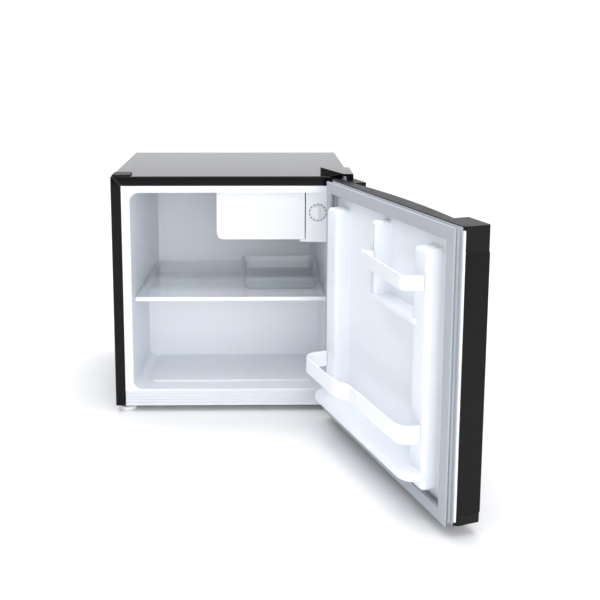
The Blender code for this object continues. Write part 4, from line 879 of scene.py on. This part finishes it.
# Flat web across the top of the upper bar's pointed end, which hooks behind the partition.
web = bmesh.new()
corners = [(0.0030, 0.0298), (-0.0460, 0.0352), (-0.0400, 0.0300), (-0.0120, 0.0162)]
bar_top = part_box("upper_rack_bar")[1][2]
rim = [web.verts.new((x, y, bar_top - 0.0022)) for x, y in corners]
lid = bmesh.ops.contextual_create(web, geom=rim)["faces"]
raised = bmesh.ops.extrude_face_region(web, geom=lid)["geom"]
raised = [item for item in raised if isinstance(item, bmesh.types.BMVert)]
bmesh.ops.translate(web, verts=raised, vec=(0.0, 0.0, 0.0020))
bmesh.ops.recalc_face_normals(web, faces=web.faces)
web = make_piece("upper_rack_web", web, white_moulded, "door", place=DOOR)
ease(web, 0.0004, 2)

# ------------------------------------------------------------------ back and underside
# Back panel of satin black sheet with stamped fields that keep it from drumming, fixed by
# pan-head screws. The base, bay panel and rail are galvanised sheet, left bare.
satin_black = new_finish("satin black stove enamel on steel", {"IOR": 1.5})
skin(satin_black, ("#111112", "#19191b"), (0.38, 0.5), 0.0015, 0.00002)
back_low, back_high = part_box("back_panel")
FIELD_MARGIN = 0.016
FIELD_SLOPE = 0.005
FIELD_DEPTH = 0.0014
HEAD_RADIUS = 0.0040
HEAD_HEIGHT = 0.0010
bm = bmesh.new()
bmesh.ops.create_grid(bm, x_segments=3, y_segments=2, size=0.5)
for vert in bm.verts:
    x, z = vert.co.x + 0.5, vert.co.y + 0.5
    vert.co.x = back_low[0] + (back_high[0] - back_low[0]) * x
    vert.co.z = back_low[2] + (back_high[2] - back_low[2]) * z
    vert.co.y = back_high[1] - 0.0010
bmesh.ops.reverse_faces(bm, faces=bm.faces[:])
bm.normal_update()
fields = bm.faces[:]
bmesh.ops.inset_individual(bm, faces=fields, thickness=FIELD_MARGIN, depth=0.0)
bmesh.ops.inset_individual(bm, faces=fields, thickness=FIELD_SLOPE, depth=-FIELD_DEPTH)
back = make_piece(
    "back_panel_stamped", bm, satin_black, "cabinet", ["back_panel"], place=Matrix()
)
wall(back, 0.0007)
heads = bmesh.new()
for column in (0.02, 0.5, 0.98):
    for row in (0.025, 0.975):
        made = bmesh.ops.create_cone(
            heads,
            cap_ends=True,
            segments=24,
            radius1=HEAD_RADIUS,
            radius2=HEAD_RADIUS * 0.75,
            depth=HEAD_HEIGHT,
        )["verts"]
        spot = (
            back_low[0] + (back_high[0] - back_low[0]) * column,
            back_high[1] - HEAD_HEIGHT / 2,
            back_low[2] + (back_high[2] - back_low[2]) * row,
        )
        turn = Matrix.Translation(spot) @ Matrix.Rotation(-math.pi / 2, 4, "X")
        bmesh.ops.transform(heads, matrix=turn, verts=made)
make_piece("back_panel_screws", heads, zinc, "cabinet", place=Matrix())
for node in ("base_plate", "compressor_bay_panel", "compressor_rail"):
    eased_copy(node, zinc, "cabinet", 0.0003, 2)

# ------------------------------------------------------------------ compressor
# Two drawn steel cups welded round the middle, stove-enamelled black, on a mounting plate and
# four rubber grommets. A relay cover clips to its side and a pan for melt water sits on top.
low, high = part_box("compressor")
can_x, can_y, _ = middle("compressor")
can_r = (high[1] - low[1]) / 2 - 0.0025
seam = (low[2] + high[2]) / 2 + 0.010
crown = [
    (can_r * math.sin(math.radians(a)), high[2] - 0.030 + 0.030 * math.cos(math.radians(a)))
    for a in range(0, 91, 9)
]
can = turned(
    crown
    + [(can_r, seam + 0.0050), (can_r + 0.0018, seam + 0.0044), (can_r + 0.0025, seam + 0.0030)]
    + [(can_r + 0.0025, seam + 0.0008), (can_r + 0.0016, seam - 0.0004), (can_r, seam - 0.0010)]
    + [(can_r, low[2] + 0.022), (can_r * 0.975, low[2] + 0.013), (can_r * 0.91, low[2] + 0.006)]
    + [(can_r * 0.78, low[2] + 0.0012), (can_r * 0.66, low[2]), (0.0, low[2])],
    96,
)
stretch = (high[0] - low[0]) / (high[1] - low[1])
make_piece(
    "compressor_can",
    can,
    satin_black,
    "cabinet",
    ["compressor"],
    place=Matrix.Translation((can_x, can_y, 0.0)) @ Matrix.Diagonal((stretch, 1.0, 1.0, 1.0)),
)
eased_copy("compressor_mount", satin_black, "cabinet", 0.0004, 2)
for i in range(1, 5):
    eased_copy(f"grommet_{i}", rubber, "cabinet", 0.0005, 2)
for node in ("relay_cover", "evaporation_pan", "cord_gland"):
    eased_copy(node, black_abs, "cabinet", 0.0008)

# ------------------------------------------------------------------ refrigerant and drain pipes
# Condenser of black-enamelled steel tube, copper dryer and pipes with a dull bloom, and a milky
# plastic drain.
copper = new_finish("drawn copper, dulled", {"Metallic": 1.0})
skin(copper, ("#9c6248", "#b87a5a"), (0.28, 0.5), 0.0015, 0.00001, patch=0.02)
eased_copy("condenser_coil", satin_black, "cabinet", 0.0)
for node in ("filter_dryer", "discharge_pipe", "suction_pipe"):
    eased_copy(node, copper, "cabinet", 0.0)
eased_copy("drain_tube", milky_nylon, "cabinet", 0.0003, 2)
